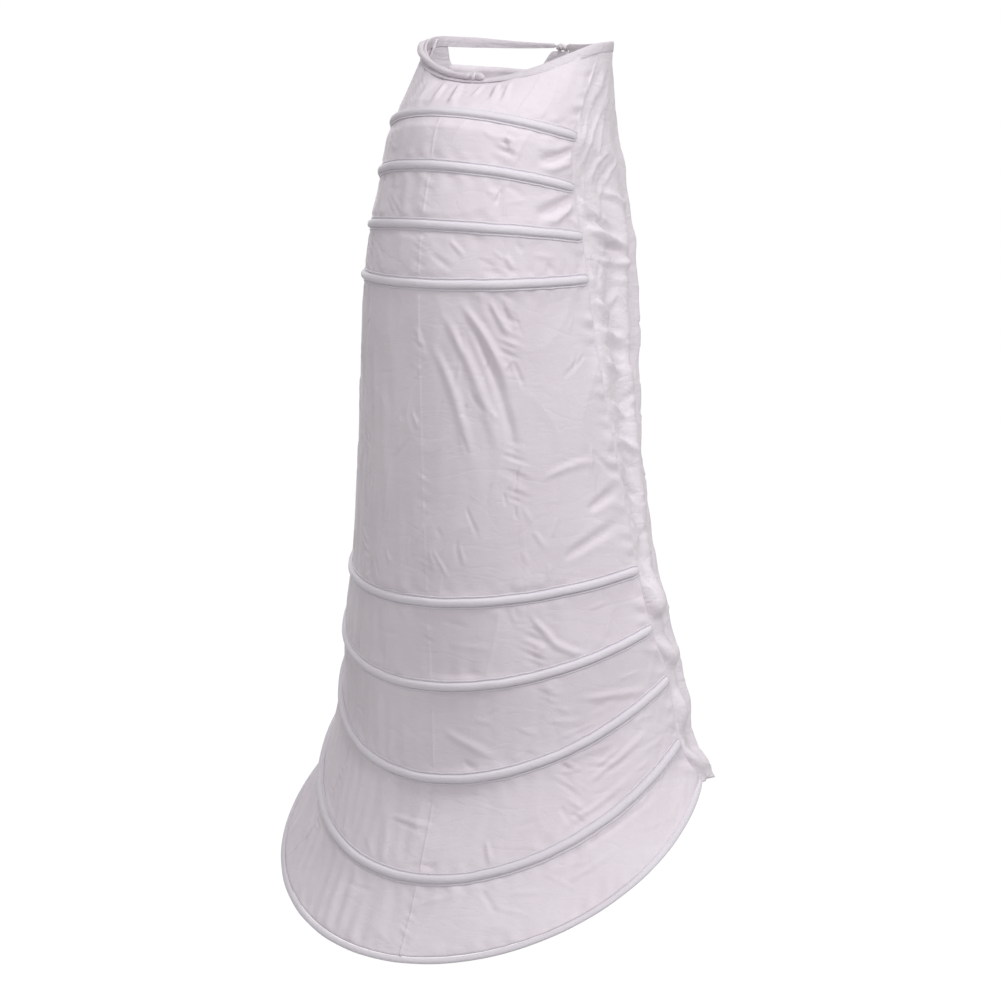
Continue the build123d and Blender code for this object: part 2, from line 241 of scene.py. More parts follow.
@dataclass
class Form:
    """The petticoat's form, as the CAD part has it."""

    levels: tuple[Level, ...] = LEVELS
    waist_front_drop: float = 0.010
    band_bed: float = 0.006
    casing_bed: float = 0.014
    fold: float = 0.0045
    folds: int = 11
    fold_turn: float = 0.090
    seam_share: float = 0.12
    puff: float = 0.009
    puff_share: float = 0.07
    right_puff: float = 0.009
    right_puff_share: float = 0.050
    right_puff_span: Pair = (0.62, 0.73)
    right_puff_fade: Pair = (0.04, 0.05)
    step: float = 0.0001
    share_step: float = 0.01
    table: dict[str, Array] = field(default_factory=dict)

    @property
    def waist(self) -> Level:
        """The waist's level."""
        return self.levels[0]

    @property
    def hem(self) -> Level:
        """The hem's level."""
        return self.levels[-1]

    def slopes(self, drops: Array, values: Array) -> Array:
        """How fast a size changes with the drop at each level, level where it turns.

        Args:
            drops: drops of the levels.
            values: the size at each level.

        Returns:
            One slope for each level.
        """
        steps = np.diff(values) / np.diff(drops)
        before, after = steps[:-1], steps[1:]
        same = before * after > 0
        total = np.where(same, before + after, 1)
        middle = np.where(same, 2 * before * after / total, 0)
        return np.concatenate([steps[:1], middle, steps[-1:]])

    def size(self, name: str, drop: Array) -> Array:
        """A size of the petticoat at any drop, smooth through the levels.

        Args:
            name: name of the level's field.
            drop: drops of the places.

        Returns:
            The size at each place.
        """
        if name not in self.table:
            drops = np.array([level.drop for level in self.levels])
            values = np.array([getattr(level, name) for level in self.levels], float)
            self.table[name] = np.stack([drops, values, self.slopes(drops, values)])
        drops, values, slopes = self.table[name]
        i = np.clip(np.searchsorted(drops, drop) - 1, 0, len(drops) - 2)
        span = drops[i + 1] - drops[i]
        u = (drop - drops[i]) / span
        rise = u * u * (3 - 2 * u)
        start = u * (1 - u) ** 2 * span * slopes[i]
        end = u * u * (u - 1) * span * slopes[i + 1]
        return values[i] * (1 - rise) + values[i + 1] * rise + start + end

    def waist_share(self, drop: Array) -> Array:
        """1 at the waist, falling smoothly to 0 at the first hoop."""
        first = self.levels[1].drop
        return 1 - smooth((drop - self.waist.drop) / (first - self.waist.drop))

    def back(self, s: Array, drop: Array) -> Array:
        """Points of the hooped back.

        Args:
            s: 0 at the centre back and 1 at the left side seam.
            drop: drop of the place.

        Returns:
            The points, without any beds.
        """
        wrap = np.radians(self.size("wrap", drop))
        back = self.size("back", drop)
        depth = (back - self.size("side", drop)) / (1 - np.cos(wrap))
        t = s * wrap
        x = self.size("half_width", drop) * np.sin(t) / np.sin(wrap)
        y = back - depth * (1 - np.cos(t))
        share = (1 - np.cos(t)) / (1 - np.cos(wrap)) * (1 + self.waist_share(drop) * np.cos(t))
        return np.stack([x, y, self.size("rise", drop) * share - drop], -1)

    def between_hoops(self, drop: Array) -> Array:
        """0 at every hoop and 1 halfway between two lower hoops.

        Args:
            drop: drop of the place.

        Returns:
            One number for each place.
        """
        drops = np.array([level.drop for level in self.levels[5:]])
        i = np.clip(np.searchsorted(drops, drop) - 1, 0, len(drops) - 2)
        u = np.clip((drop - drops[i]) / (drops[i + 1] - drops[i]), 0, 1)
        return np.sin(math.pi * u) ** 2

    def front(self, s: Array, drop: Array) -> Array:
        """Points of the soft front.

        Args:
            s: 0 at the centre front and 1 at the left side seam.
            drop: drop of the place.

        Returns:
            The points, without any beds.
        """
        q = 1 - np.abs(s)
        width = self.size("half_width", drop)
        side = self.size("side", drop)
        front = self.size("front", drop)
        reach = self.size("fullness", drop)
        corner = side - reach * (side + front)
        x = width * (1 - q) ** 2 * (1 + 2 * q) + 3 * (1 - q) * q * q * reach * width
        x = x * np.where(s < 0, -1, 1)
        y = side * (1 - q) ** 3 + 3 * (1 - q) ** 2 * q * corner - front * q * q * (3 - 2 * q)
        edge = self.size("rise", drop) - drop
        level = edge - self.waist_front_drop * self.waist_share(drop) * q * q * (3 - 2 * q)
        free = np.minimum(q / self.seam_share, 1) * (1 - self.waist_share(drop))
        first, fourth = self.levels[1].drop, self.levels[4].drop
        hang = free * np.minimum((drop - first) / (fourth - first), 1)
        lift = self.fold * hang * np.sin(math.pi * self.folds * s + drop / self.fold_turn)
        near = q / self.puff_share
        lift = lift + self.puff * self.between_hoops(drop) * near * np.exp(1 - near)
        near = np.where(s < 0, q / self.right_puff_share, 0)
        (high, low), (above, below) = self.right_puff_span, self.right_puff_fade
        span = smooth((drop - high) / above) * smooth((low - drop) / below)
        lift = lift + self.right_puff * span * near * np.exp(1 - near)
        grow = 1 + lift / np.maximum(np.hypot(x, y), self.step)
        return np.stack([x * grow, y * grow, level], -1)

    def bed(self, drop: Array) -> tuple[Array, Array]:
        """The straight stretch of cloth that holds each drop: its two ends.

        Args:
            drop: drops of the points that are asked for.

        Returns:
            Upper and lower drop of the stretch, both equal to the drop where there is none.
        """
        low, high = np.array(drop, float), np.array(drop, float)
        near = drop <= self.waist.drop + self.band_bed
        low[near], high[near] = self.waist.drop, self.waist.drop + self.band_bed
        for level in self.levels[1:]:
            near = np.abs(drop - level.drop) <= self.casing_bed
            low[near] = level.drop - self.casing_bed
            high[near] = min(level.drop + self.casing_bed, self.hem.drop)
        return low, high

    def cloth(self, part: Part, s: Array, drop: Array) -> Array:
        """Points of the cloth, which lies straight under the band and the casings.

        Args:
            part: the back or the front.
            s: share of the way to the side seam.
            drop: drop of the place.

        Returns:
            The points.
        """
        surface = self.back if part is Part.BACK else self.front
        s, drop = np.broadcast_arrays(np.asarray(s, float), np.asarray(drop, float))
        low, high = self.bed(drop)
        span = high - low
        u = np.where(span > 0, (drop - low) / np.where(span > 0, span, 1), 0)[..., None]
        return surface(s, low) * (1 - u) + surface(s, high) * u

    def frames(self, part: Part, s: Array, drop: Array) -> tuple[Array, Array, Array, Array]:
        """Places on the cloth with their directions along the hoop, up the cloth and out.

        Args:
            part: the back or the front.
            s: share of the way to the side seam.
            drop: drop of the place.

        Returns:
            Point, along, up and out, one vector for each place.
        """
        s, drop = np.broadcast_arrays(np.asarray(s, float), np.asarray(drop, float))
        reach = self.share_step
        p = self.cloth(part, s, drop)
        along = unit(self.cloth(part, s + reach, drop) - self.cloth(part, s - reach, drop))
        up = self.cloth(part, s, drop - self.step) - self.cloth(part, s, drop + self.step)
        up = unit(up - along * (along * up).sum(-1)[..., None])
        out = np.cross(along, up)
        flat = np.stack([p[..., 0], p[..., 1] - self.size("side", drop), 0 * drop], -1)
        turn = np.where((out * flat).sum(-1) < 0, -1.0, 1.0)[..., None]
        return p, along, up, out * turn

    def waist_shares(self, angle: Array) -> tuple[tuple[Part, Array], tuple[Part, Array]]:
        """Shares of the way to the side seams for angles from the centre back to the left.

        Args:
            angle: angles in degrees, 0 at the centre back.

        Returns:
            The back and the front, each with its shares.
        """
        front = np.clip((2 * QUARTER - np.abs(angle)) / QUARTER, 0, 1)
        back = np.clip(angle / QUARTER, -1, 1)
        return (Part.BACK, back), (Part.FRONT, front * np.where(angle > 0, 1, -1))

    def waist_frames(self, angle: Array) -> tuple[Array, Array, Array, Array]:
        """Frames on the waist's edge.

        Args:
            angle: angles in degrees from the centre back to the left.

        Returns:
            Point, along, up and out, one vector for each angle.
        """
        drop = np.full(angle.shape, self.waist.drop + self.step / 10)
        back, front = (self.frames(part, s, drop) for part, s in self.waist_shares(angle))
        behind = (np.abs(angle) <= QUARTER)[:, None]
        return tuple(np.where(behind, b, f) for b, f in zip(back, front))


@dataclass(frozen=True)
class Fold:
    """One fold of the cloth: a ridge, or a valley where its height is negative."""

    start: Pair
    end: Pair
    width: float
    height: float
    bow: float = 0.0


@dataclass
class Chart:
    """Distances on one surface of the cloth, so that folds have real sizes."""

    form: Form
    part: Part
    shares: Array = field(default_factory=lambda: np.linspace(-1, 1, 61))
    drops: Array = field(
        default_factory=lambda: np.linspace(LEVELS[0].drop, LEVELS[-1].drop, 260))

    def __post_init__(self) -> None:
        """Adds up the distances across and down the cloth."""
        p = self.form.cloth(self.part, self.shares[None, :], self.drops[:, None])
        across = np.cumsum(lengths(np.diff(p, axis=1)), axis=1)
        across = np.concatenate([np.zeros((len(p), 1)), across], axis=1)
        middle = across[:, len(self.shares) // 2][:, None]
        down = np.cumsum(lengths(np.diff(p, axis=0)), axis=0)
        self.across_table = across - middle
        self.down_table = np.concatenate([np.zeros((1, p.shape[1])), down], axis=0)

    def read(self, table: Array, s: Array, drop: Array) -> Array:
        """Reads a table between its entries.

        Args:
            table: distances at each drop and share of the chart.
            s: share of the way to the side seam.
            drop: drop of the place.

        Returns:
            The distance at each place.
        """
        a = (np.clip(s, -1, 1) + 1) / 2 * (len(self.shares) - 1)
        top, bottom = self.drops[0], self.drops[-1]
        b = (np.clip(drop, top, bottom) - top) / (bottom - top) * (len(self.drops) - 1)
        i = np.minimum(a.astype(int), len(self.shares) - 2)
        j = np.minimum(b.astype(int), len(self.drops) - 2)
        u, v = a - i, b - j
        upper = table[j, i] * (1 - u) + table[j, i + 1] * u
        lower = table[j + 1, i] * (1 - u) + table[j + 1, i + 1] * u
        return upper * (1 - v) + lower * v

    def place(self, s: Array, drop: Array) -> tuple[Array, Array]:
        """Distance across from the middle and down from the waist, in metres.

        Args:
            s: share of the way to the side seam.
            drop: drop of the place.

        Returns:
            The two distances at each place.
        """
        s, drop = np.broadcast_arrays(np.asarray(s, float), np.asarray(drop, float))
        return self.read(self.across_table, s, drop), self.read(self.down_table, s, drop)

    def fold_relief(self, fold: Fold, across: Array, down: Array) -> Array:
        """Height that one fold adds to the cloth.

        Args:
            fold: the fold.
            across: distance across at each place.
            down: distance down at each place.

        Returns:
            Heights in metres.
        """
        ends = [self.place(np.array(s), np.array(d)) for s, d in (fold.start, fold.end)]
        (ax, ay), (bx, by) = ends
        dx, dy = float(bx - ax), float(by - ay)
        length = max(math.hypot(dx, dy), 1e-4)
        u = ((across - ax) * dx + (down - ay) * dy) / length ** 2
        off = (-(across - ax) * dy + (down - ay) * dx) / length
        off = off - fold.bow * 4 * u * (1 - u)
        t = off / (fold.width * (0.75 + 0.5 * np.clip(u, 0, 1)))
        fade = smooth(u / 0.25) * smooth((1 - u) / 0.4)
        return fold.height * (1 - 1.2 * t * t) * np.exp(-t * t) * fade


class Mesh:
    """Makes meshes from grids of points."""

    @staticmethod
    def quads(rows: int, columns: int, first: int = 0, flip: bool = False) -> Array:
        """Quads of a grid of points, as rows of four indices.

        Args:
            rows: rows of the grid.
            columns: columns of the grid.
            first: index of the grid's first point.
            flip: whether the faces turn the other way.

        Returns:
            The quads.
        """
        index = first + np.arange(rows * columns).reshape(rows, columns)
        corners = [index[:-1, :-1], index[:-1, 1:], index[1:, 1:], index[1:, :-1]]
        quads = np.stack([c.ravel() for c in corners], -1)
        return quads[:, ::-1] if flip else quads

    @staticmethod
    def normals(grid: Array) -> Array:
        """Direction out of a grid whose columns run along and whose rows run down."""
        across = np.gradient(grid, axis=1)
        down = np.gradient(grid, axis=0)
        return unit(np.cross(down, across))

    @staticmethod
    def link(name: str, points: Array, faces: list[list[int]], uv: Array) -> bpy.types.Object:
        """Makes an object with smooth faces and its pattern's map.

        Args:
            name: name of the piece.
            points: its points, one row each.
            faces: indices of each face's points.
            uv: place of each point on the pattern, in metres.

        Returns:
            The new object, at the origin.
        """
        mesh = bpy.data.meshes.new(name)
        mesh.from_pydata(points.tolist(), [], faces)
        layer = mesh.uv_layers.new(name="pattern")
        corner = np.zeros(len(mesh.loops), int)
        mesh.loops.foreach_get("vertex_index", corner)
        layer.data.foreach_set("uv", uv[corner].astype(np.float32).ravel())
        mesh.polygons.foreach_set("use_smooth", np.ones(len(mesh.polygons), bool))
        mesh.update()
        return in_scene(name, mesh)

    @classmethod
    def sheet(cls, name: str, grid: Array, across: Array, down: Array,
              thickness: float) -> bpy.types.Object:
        """Closed cloth of even thickness.

        Args:
            name: name of the piece.
            grid: points of its outer face.
            across: distance across at each point.
            down: distance down at each point.
            thickness: distance between its two faces.

        Returns:
            The new object.
        """
        rows, columns = grid.shape[:2]
        count = rows * columns
        normals = cls.normals(grid)
        middle = grid.reshape(-1, 3).mean(0) * np.array([0, 0, 1])
        outward = ((grid - middle) * normals).sum() > 0
        if not outward:
            normals = -normals
        inner = grid - normals * thickness
        points = np.concatenate([grid.reshape(-1, 3), inner.reshape(-1, 3)])
        faces = [cls.quads(rows, columns, 0, outward),
                 cls.quads(rows, columns, count, not outward)]
        index = np.arange(count).reshape(rows, columns)
        rim = np.concatenate([index[0, :-1], index[:-1, -1], index[-1, :0:-1], index[:0:-1, 0]])
        after = np.roll(rim, -1)
        wall = np.stack([rim, after, after + count, rim + count], -1)
        faces.append(wall if outward else wall[:, ::-1])
        uv = np.stack([across.ravel(), down.ravel()], -1)
        return cls.link(name, points, np.concatenate(faces).tolist(), np.concatenate([uv, uv]))

    @classmethod
    def tube(cls, name: str, rings: Array, along: Array) -> bpy.types.Object:
        """Closed bar through rings of points, each ring one outline in the same order.

        Args:
            name: name of the piece.
            rings: outlines, as an array of rings, points and coordinates.
            along: distance of each ring from the first one.

        Returns:
            The new object, closed at both ends.
        """
        count, size = rings.shape[:2]
        index = np.arange(count * size).reshape(count, size)
        after = np.roll(index, -1, axis=1)
        corners = [index[:-1], after[:-1], after[1:], index[1:]]
        faces = np.stack([c.ravel() for c in corners], -1).tolist()
        faces.append(index[0, ::-1].tolist())
        faces.append(index[-1].tolist())
        side = lengths(np.diff(rings, axis=1, append=rings[:, :1]))
        round_ = np.concatenate([np.zeros((count, 1)), np.cumsum(side, axis=1)[:, :-1]], axis=1)
        uv = np.stack([np.repeat(along, size), round_.ravel()], -1)
        piece = cls.link(name, rings.reshape(-1, 3), faces, uv)
        if cls.volume(piece.data) < 0:
            piece.data.flip_normals()
        return piece

    @staticmethod
    def volume(mesh: bpy.types.Mesh) -> float:
        """Volume inside a mesh, negative where its faces point inwards.

        Args:
            mesh: a closed mesh.

        Returns:
            The volume in cubic metres.
        """
        mesh.calc_loop_triangles()
        corners = np.zeros(len(mesh.loop_triangles) * 3, int)
        mesh.loop_triangles.foreach_get("vertices", corners)
        points = np.zeros(len(mesh.vertices) * 3)
        mesh.vertices.foreach_get("co", points)
        a, b, c = points.reshape(-1, 3)[corners.reshape(-1, 3)].transpose(1, 0, 2)
        return float((a * np.cross(b, c)).sum() / 6)


class Nodes:
    """Adds and joins nodes of one tree."""

    def __init__(self, tree: bpy.types.NodeTree) -> None:
        """Keeps the tree."""
        self.tree = tree

    def put(self, socket: bpy.types.NodeSocket, value: object) -> None:
        """Joins an input to another node's output, or gives it a value."""
        if isinstance(value, bpy.types.NodeSocket):
            self.tree.links.new(value, socket)
        else:
            socket.default_value = value

    def fill(self, node: bpy.types.Node, inputs: dict[str | int, object]) -> bpy.types.Node:
        """Puts values or outputs into a node's inputs.

        Args:
            node: the node.
            inputs: a value or an output for each input, by name or number.

        Returns:
            The same node.
        """
        for name, value in inputs.items():
            self.put(node.inputs[name], value)
        return node

    def add(self, kind: str, inputs: dict[str | int, object] | None = None,
            **fields: object) -> bpy.types.Node:
        """Adds a node.

        Args:
            kind: Blender's name of the node.
            inputs: a value or an output for each input that is used.
            fields: values of the node's own fields.

        Returns:
            The new node.
        """
        node = self.tree.nodes.new(kind)
        for name, value in fields.items():
            setattr(node, name, value)
        return self.fill(node, inputs or {})

    def math(self, operation: str, first: object, second: object = None) -> bpy.types.NodeSocket:
        """Works out one number from others.

        Args:
            operation: Blender's name of the operation.
            first: an output or a number.
            second: an output or a number, where the operation takes two.

        Returns:
            The result's output.
        """
        given = {0: first} if second is None else {0: first, 1: second}
        return self.add("ShaderNodeMath", given, operation=operation).outputs[0]

    def noise(self, vector: bpy.types.NodeSocket, scale: float, detail: float,
              **inputs: float) -> bpy.types.NodeSocket:
        """A cloudy pattern from 0 to 1.

        Args:
            vector: place on the piece.
            scale: how many clouds there are in a metre.
            detail: how many finer patterns lie over the first one.
            inputs: further inputs of the pattern.

        Returns:
            The pattern's output.
        """
        given = {"Vector": vector, "Scale": scale, "Detail": detail, **inputs}
        return self.add("ShaderNodeTexNoise", given, noise_dimensions="3D").outputs["Fac"]

    def mapped(self, vector: bpy.types.NodeSocket, scale: Triple,
               turn: Triple = (0.0, 0.0, 0.0)) -> bpy.types.NodeSocket:
        """A place that is stretched and turned for the pattern that reads it."""
        given = {"Vector": vector, "Scale": scale, "Rotation": turn}
        return self.add("ShaderNodeMapping", given).outputs["Vector"]

    def ramp(self, share: bpy.types.NodeSocket,
             stops: tuple[tuple[float, Triple], ...]) -> bpy.types.NodeSocket:
        """A colour between two tones.

        Args:
            share: how far the colour is on its way.
            stops: the share and the colour at each end.

        Returns:
            The colour's output.
        """
        node = self.add("ShaderNodeValToRGB", {"Fac": share})
        for element, (place, colour) in zip(node.color_ramp.elements, stops):
            element.position = place
            element.color = (*colour, 1)
        return node.outputs["Color"]

    def spread(self, share: bpy.types.NodeSocket, low: float, high: float) -> bpy.types.NodeSocket:
        """A number between two others, for a share from 0 to 1."""
        given = {"Value": share, "To Min": low, "To Max": high}
        return self.add("ShaderNodeMapRange", given).outputs["Result"]


def new_material(name: str) -> tuple[bpy.types.Material, Nodes, bpy.types.Node]:
    """Makes a material.

    Args:
        name: name of the material.

    Returns:
        The material, its nodes and its main shader.
    """
    material = bpy.data.materials.new(name)
    material.use_nodes = True
    nodes = Nodes(material.node_tree)
    return material, nodes, material.node_tree.nodes["Principled BSDF"]


@dataclass(frozen=True)
class Cotton:
    """A woven cotton finish.

    light and shade are the cloth's two tones, thread is the weave's pitch in metres, crease
    is the height of its small creases, and glow is the weight of its soft sheen.
    """

    name: str
    light: Triple
    shade: Triple
    slot: str
    thread: float = 0.0006
    weave: float = 0.35
    crease: float = 0.0005
    crease_size: float = 0.045
    crease_stretch: Triple = (0.7, 0.7, 1.6)
    crease_turn: Triple = (0.25, 0.15, 0.0)
    roughness: float = 0.78
    uneven: float = 0.08
    glow: float = 0.25

    def weave_height(self, nodes: Nodes, pattern: bpy.types.NodeSocket) -> bpy.types.NodeSocket:
        """Height of the crossing threads.

        Args:
            nodes: the material's nodes.
            pattern: place on the cloth's cut.

        Returns:
            The height's output.
        """
        given = {"Vector": pattern, "Scale": math.pi / (10 * self.thread), "Distortion": 0.6,
                 "Detail": 1.0}
        across, down = (nodes.add("ShaderNodeTexWave", given, wave_type="BANDS",
                                  bands_direction=direction) for direction in ("X", "Y"))
        return nodes.math("MULTIPLY", across.outputs["Fac"], down.outputs["Fac"])

    def creases(self, nodes: Nodes, place: bpy.types.NodeSocket) -> bpy.types.NodeSocket:
        """Height of the small sharp creases of pressed and handled cotton.

        Args:
            nodes: the material's nodes.
            place: place on the piece.

        Returns:
            The height's output.
        """
        place = nodes.mapped(place, self.crease_stretch, self.crease_turn)
        heights = []
        for share, finer in ((1.0, 1.0), (0.4, 2.6)):
            cloud = nodes.noise(place, finer / self.crease_size, 2.0, Roughness=0.45,
                                Distortion=0.7)
            away = nodes.math("ABSOLUTE", nodes.math("SUBTRACT", cloud, 0.5))
            ridge = nodes.math("POWER", nodes.math("MULTIPLY", away, 2.0), 0.6)
            heights.append(nodes.math("MULTIPLY", ridge, share))
        return nodes.math("ADD", *heights)

    def build(self) -> bpy.types.Material:
        """Makes the material.

        Returns:
            A material of woven cotton with slubs, small creases and uneven tone.
        """
        material, nodes, shader = new_material(self.name)
        coordinates = nodes.add("ShaderNodeTexCoord")
        place, pattern = coordinates.outputs["Object"], coordinates.outputs["UV"]
        tone = nodes.noise(place, 9.0, 5.0)
        slub = nodes.noise(pattern, 0.25 / self.thread, 2.0)
        mixed = nodes.math("ADD", nodes.math("MULTIPLY", tone, 0.75),
                           nodes.math("MULTIPLY", slub, 0.25))
        fine = nodes.add("ShaderNodeBump", {
            "Strength": self.weave,
            "Distance": self.thread * 0.35,
            "Height": self.weave_height(nodes, pattern),
        })
        broad = nodes.add("ShaderNodeBump", {
            "Strength": 1.0,
            "Distance": self.crease,
            "Height": self.creases(nodes, place),
            "Normal": fine.outputs["Normal"],
        })
        rough = self.roughness
        nodes.fill(shader, {
            "Base Color": nodes.ramp(mixed, ((0.30, self.shade), (0.68, self.light))),
            "Roughness": nodes.spread(slub, rough - self.uneven, rough + self.uneven),
            "Normal": broad.outputs["Normal"],
            "Sheen Weight": self.glow,
            "Sheen Roughness": 0.5,
            "Specular IOR Level": 0.25,
        })
        return material


@dataclass(frozen=True)
class Hard:
    """Spring steel or dipped plastic: an even finish with fine brushed or moulded marks."""

    name: str
    colour: Triple
    metallic: float
    roughness: float
    mark_size: float
    stretch: float
    dark: float = 0.85
    uneven: float = 0.2

    def build(self) -> bpy.types.Material:
        """Makes the material.

        Returns:
            A material with marks along the piece's height.
        """
        material, nodes, shader = new_material(self.name)
        place = nodes.add("ShaderNodeTexCoord").outputs["Object"]
        marks = nodes.noise(nodes.mapped(place, (1, 1, self.stretch)), 1 / self.mark_size, 4.0)
        dark = tuple(tone * self.dark for tone in self.colour)
        low, high = self.roughness * (1 - self.uneven), self.roughness * (1 + self.uneven)
        nodes.fill(shader, {
            "Base Color": nodes.ramp(marks, ((0.0, dark), (1.0, self.colour))),
            "Roughness": nodes.spread(marks, low, high),
            "Metallic": self.metallic,
        })
        return material


GORE = Cotton("gore cotton", (0.815, 0.752, 0.806), (0.745, 0.676, 0.735), "cotton")
FRONT = Cotton("front cotton", (0.850, 0.792, 0.842), (0.790, 0.727, 0.781), "soft_cotton",
               crease=0.0009, crease_size=0.030, roughness=0.62, glow=0.35)
# Painted shade: the band, its rolled rim and the back knot are of the same cotton as the front,
# and these two tones are set darker to stand in for the shade on the band.
BAND = Cotton("band cotton painted darker as shade", (0.738, 0.686, 0.733), (0.677, 0.622, 0.672), "band_cotton",
              crease=0.0005, crease_size=0.014)
CASING = Cotton("casing cotton", (0.785, 0.742, 0.796), (0.715, 0.668, 0.730), "casing_cotton",
                crease=0.0003, crease_size=0.016, roughness=0.70)
TAPE = Cotton("tape cotton", (0.800, 0.750, 0.785), (0.730, 0.678, 0.715), "tape",
              thread=0.0008, weave=0.6, crease=0.0002, crease_size=0.012)
THREAD = Cotton("sewing thread", (0.760, 0.725, 0.780), (0.680, 0.645, 0.705), "casing_cotton",
                thread=0.0003, weave=0.5, crease=0.00005, crease_size=0.004, roughness=0.55)
STEEL = Hard("spring steel", (0.55, 0.56, 0.58), 1.0, 0.38, 0.0015, 12.0)
PLASTIC = Hard("dipped plastic", (0.86, 0.86, 0.86), 0.0, 0.30, 0.006, 1.0)


@dataclass
class Wardrobe:
    """The materials of the petticoat, each made once."""

    made: dict[str, bpy.types.Material] = field(default_factory=dict)

    def material(self, finish: Cotton | Hard) -> bpy.types.Material:
        """The finish's material.

        Args:
            finish: the finish.

        Returns:
            Its material, made at its first use.
        """
        if finish.name not in self.made:
            self.made[finish.name] = finish.build()
        return self.made[finish.name]

    def dress(self, piece: bpy.types.Object, finish: Cotton, *nodes: str) -> bpy.types.Object:
        """Gives a piece its finish and its body, and hides the CAD nodes that it stands for.

        Args:
            piece: the finished piece.
            finish: its cotton.
            nodes: names of the CAD nodes that it replaces.

        Returns:
            The same piece.
        """
        piece.data.materials.clear()
        piece.data.materials.append(self.material(finish))
        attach(piece, "root")
        if nodes:
            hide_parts(*nodes)
        log.info("%s: %d faces", piece.name, len(piece.data.polygons))
        return piece

    def dress_node(self, name: str, finish: Hard) -> None:
        """Gives a CAD node that stays in view its finish."""
        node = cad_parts[name]
        node.data.materials.clear()
        node.data.materials.append(self.material(finish))


@dataclass
class Cloth:
    """Shared measures of the cloth and of what lies on it."""

    form: Form
    thickness: float = 0.0007
    pitch: float = 0.0026
    seam_turn: float = 0.0035
    seam_round: float = 0.0003
    seam_gap: float = 0.00003
    hem_clear: float = 0.0077
    casing_half: float = 0.0076
    held_share: float = 0.8
    freeing: float = 0.008
    edge_room: float = 0.003

    def calm(self, drop: Array, scale: Array) -> Array:
        """0 under the band and the casings, rising to 1 away from them.

        Args:
            drop: drop of each place.
            scale: metres of cloth for each metre of drop.

        Returns:
            How freely the cloth may move there.
        """
        free = np.ones(np.broadcast(drop, scale).shape)
        for level in self.form.levels:
            near = np.abs(drop - level.drop) * scale - self.casing_half * self.held_share
            free = free * smooth(near / self.freeing)
        return free

    def narrow_ends(self, count: int, width: float) -> Array:
        """Shares across a sheet, with one narrow column along each of its edges."""
        edge = self.seam_round / width
        return np.concatenate([[0], np.linspace(edge, 1 - edge, count - 2), [1]])

    def turned(self, grid: Array, out: Array, across: Array,
               down: Array) -> tuple[Array, Array, Array]:
        """Turns both side edges of a sheet inwards, as at a sewn seam.

        Args:
            grid: points of the sheet's outer face.
            out: direction out of the cloth at each point.
            across: distance across at each point.
            down: distance down at each point.

        Returns:
            The three arrays with two more columns at each edge.
        """
        small, deep = self.seam_round, self.seam_turn
        left, right = grid[:, :1], grid[:, -1:]
        into_left = unit(grid[:, 2:3] - left) * small / 2
        into_right = unit(grid[:, -3:-2] - right) * small / 2
        low = [left - out[:, :1] * deep + into_left * 1.5, left - out[:, :1] * small]
        high = [right - out[:, -1:] * small, right - out[:, -1:] * deep + into_right * 1.5]
        grid = np.concatenate([*low, grid, *high], axis=1)
        across = np.concatenate([across[:, :1]] * 2 + [across] + [across[:, -1:]] * 2, axis=1)
        down = np.concatenate([down[:, :1]] * 2 + [down] + [down[:, -1:]] * 2, axis=1)
        return grid, across, down

    def hoop_distance(self, drop: Array, scale: Array) -> Array:
        """Distance on the cloth to the nearest casing's middle."""
        gaps = [np.abs(drop - level.drop) * scale for level in self.form.levels[1:]]
        return np.min(np.stack(gaps), axis=0)

    def hoop(self, drop: float, reach: float, ends: Array, taper: float, pitch: float,
             samples: int) -> tuple[Array, Array, Array, Array, Array]:
        """Places along a hoop at an even pitch, closer together near its ends.

        Args:
            drop: the hoop's drop.
            reach: share of the wrap at which it ends on each side.
            ends: distances of the first places from an end.
            taper: distance at which the even places start.
            pitch: distance between the even places.
            samples: how many points the hoop is measured with.

        Returns:
            Distances along, distances to the nearer end, points, directions up and out.
        """
        fine = np.linspace(-reach, reach, samples)
        run = travelled(self.form.cloth(Part.BACK, fine, np.full(samples, drop)))
        middle = np.linspace(taper, run[-1] - taper, int(run[-1] / pitch))
        at = np.concatenate([ends, middle, run[-1] - ends[::-1]])
        s = np.interp(at, run, fine)
        p, _, up, out = self.form.frames(Part.BACK, s, np.full(len(s), drop))
        return at, np.minimum(at, run[-1] - at), p, up, out


@dataclass(frozen=True)
class Seam:
    """A seam of the back: its side, and how its cloth puckers and stands along it.

    side is 0 at the centre back and 1 on the left, width and pucker are the reach and the
    height of the puckers, and right and left are the heights of the cloth at its two edges.
    """

    side: int
    width: float
    pucker: float
    right: float
    left: float


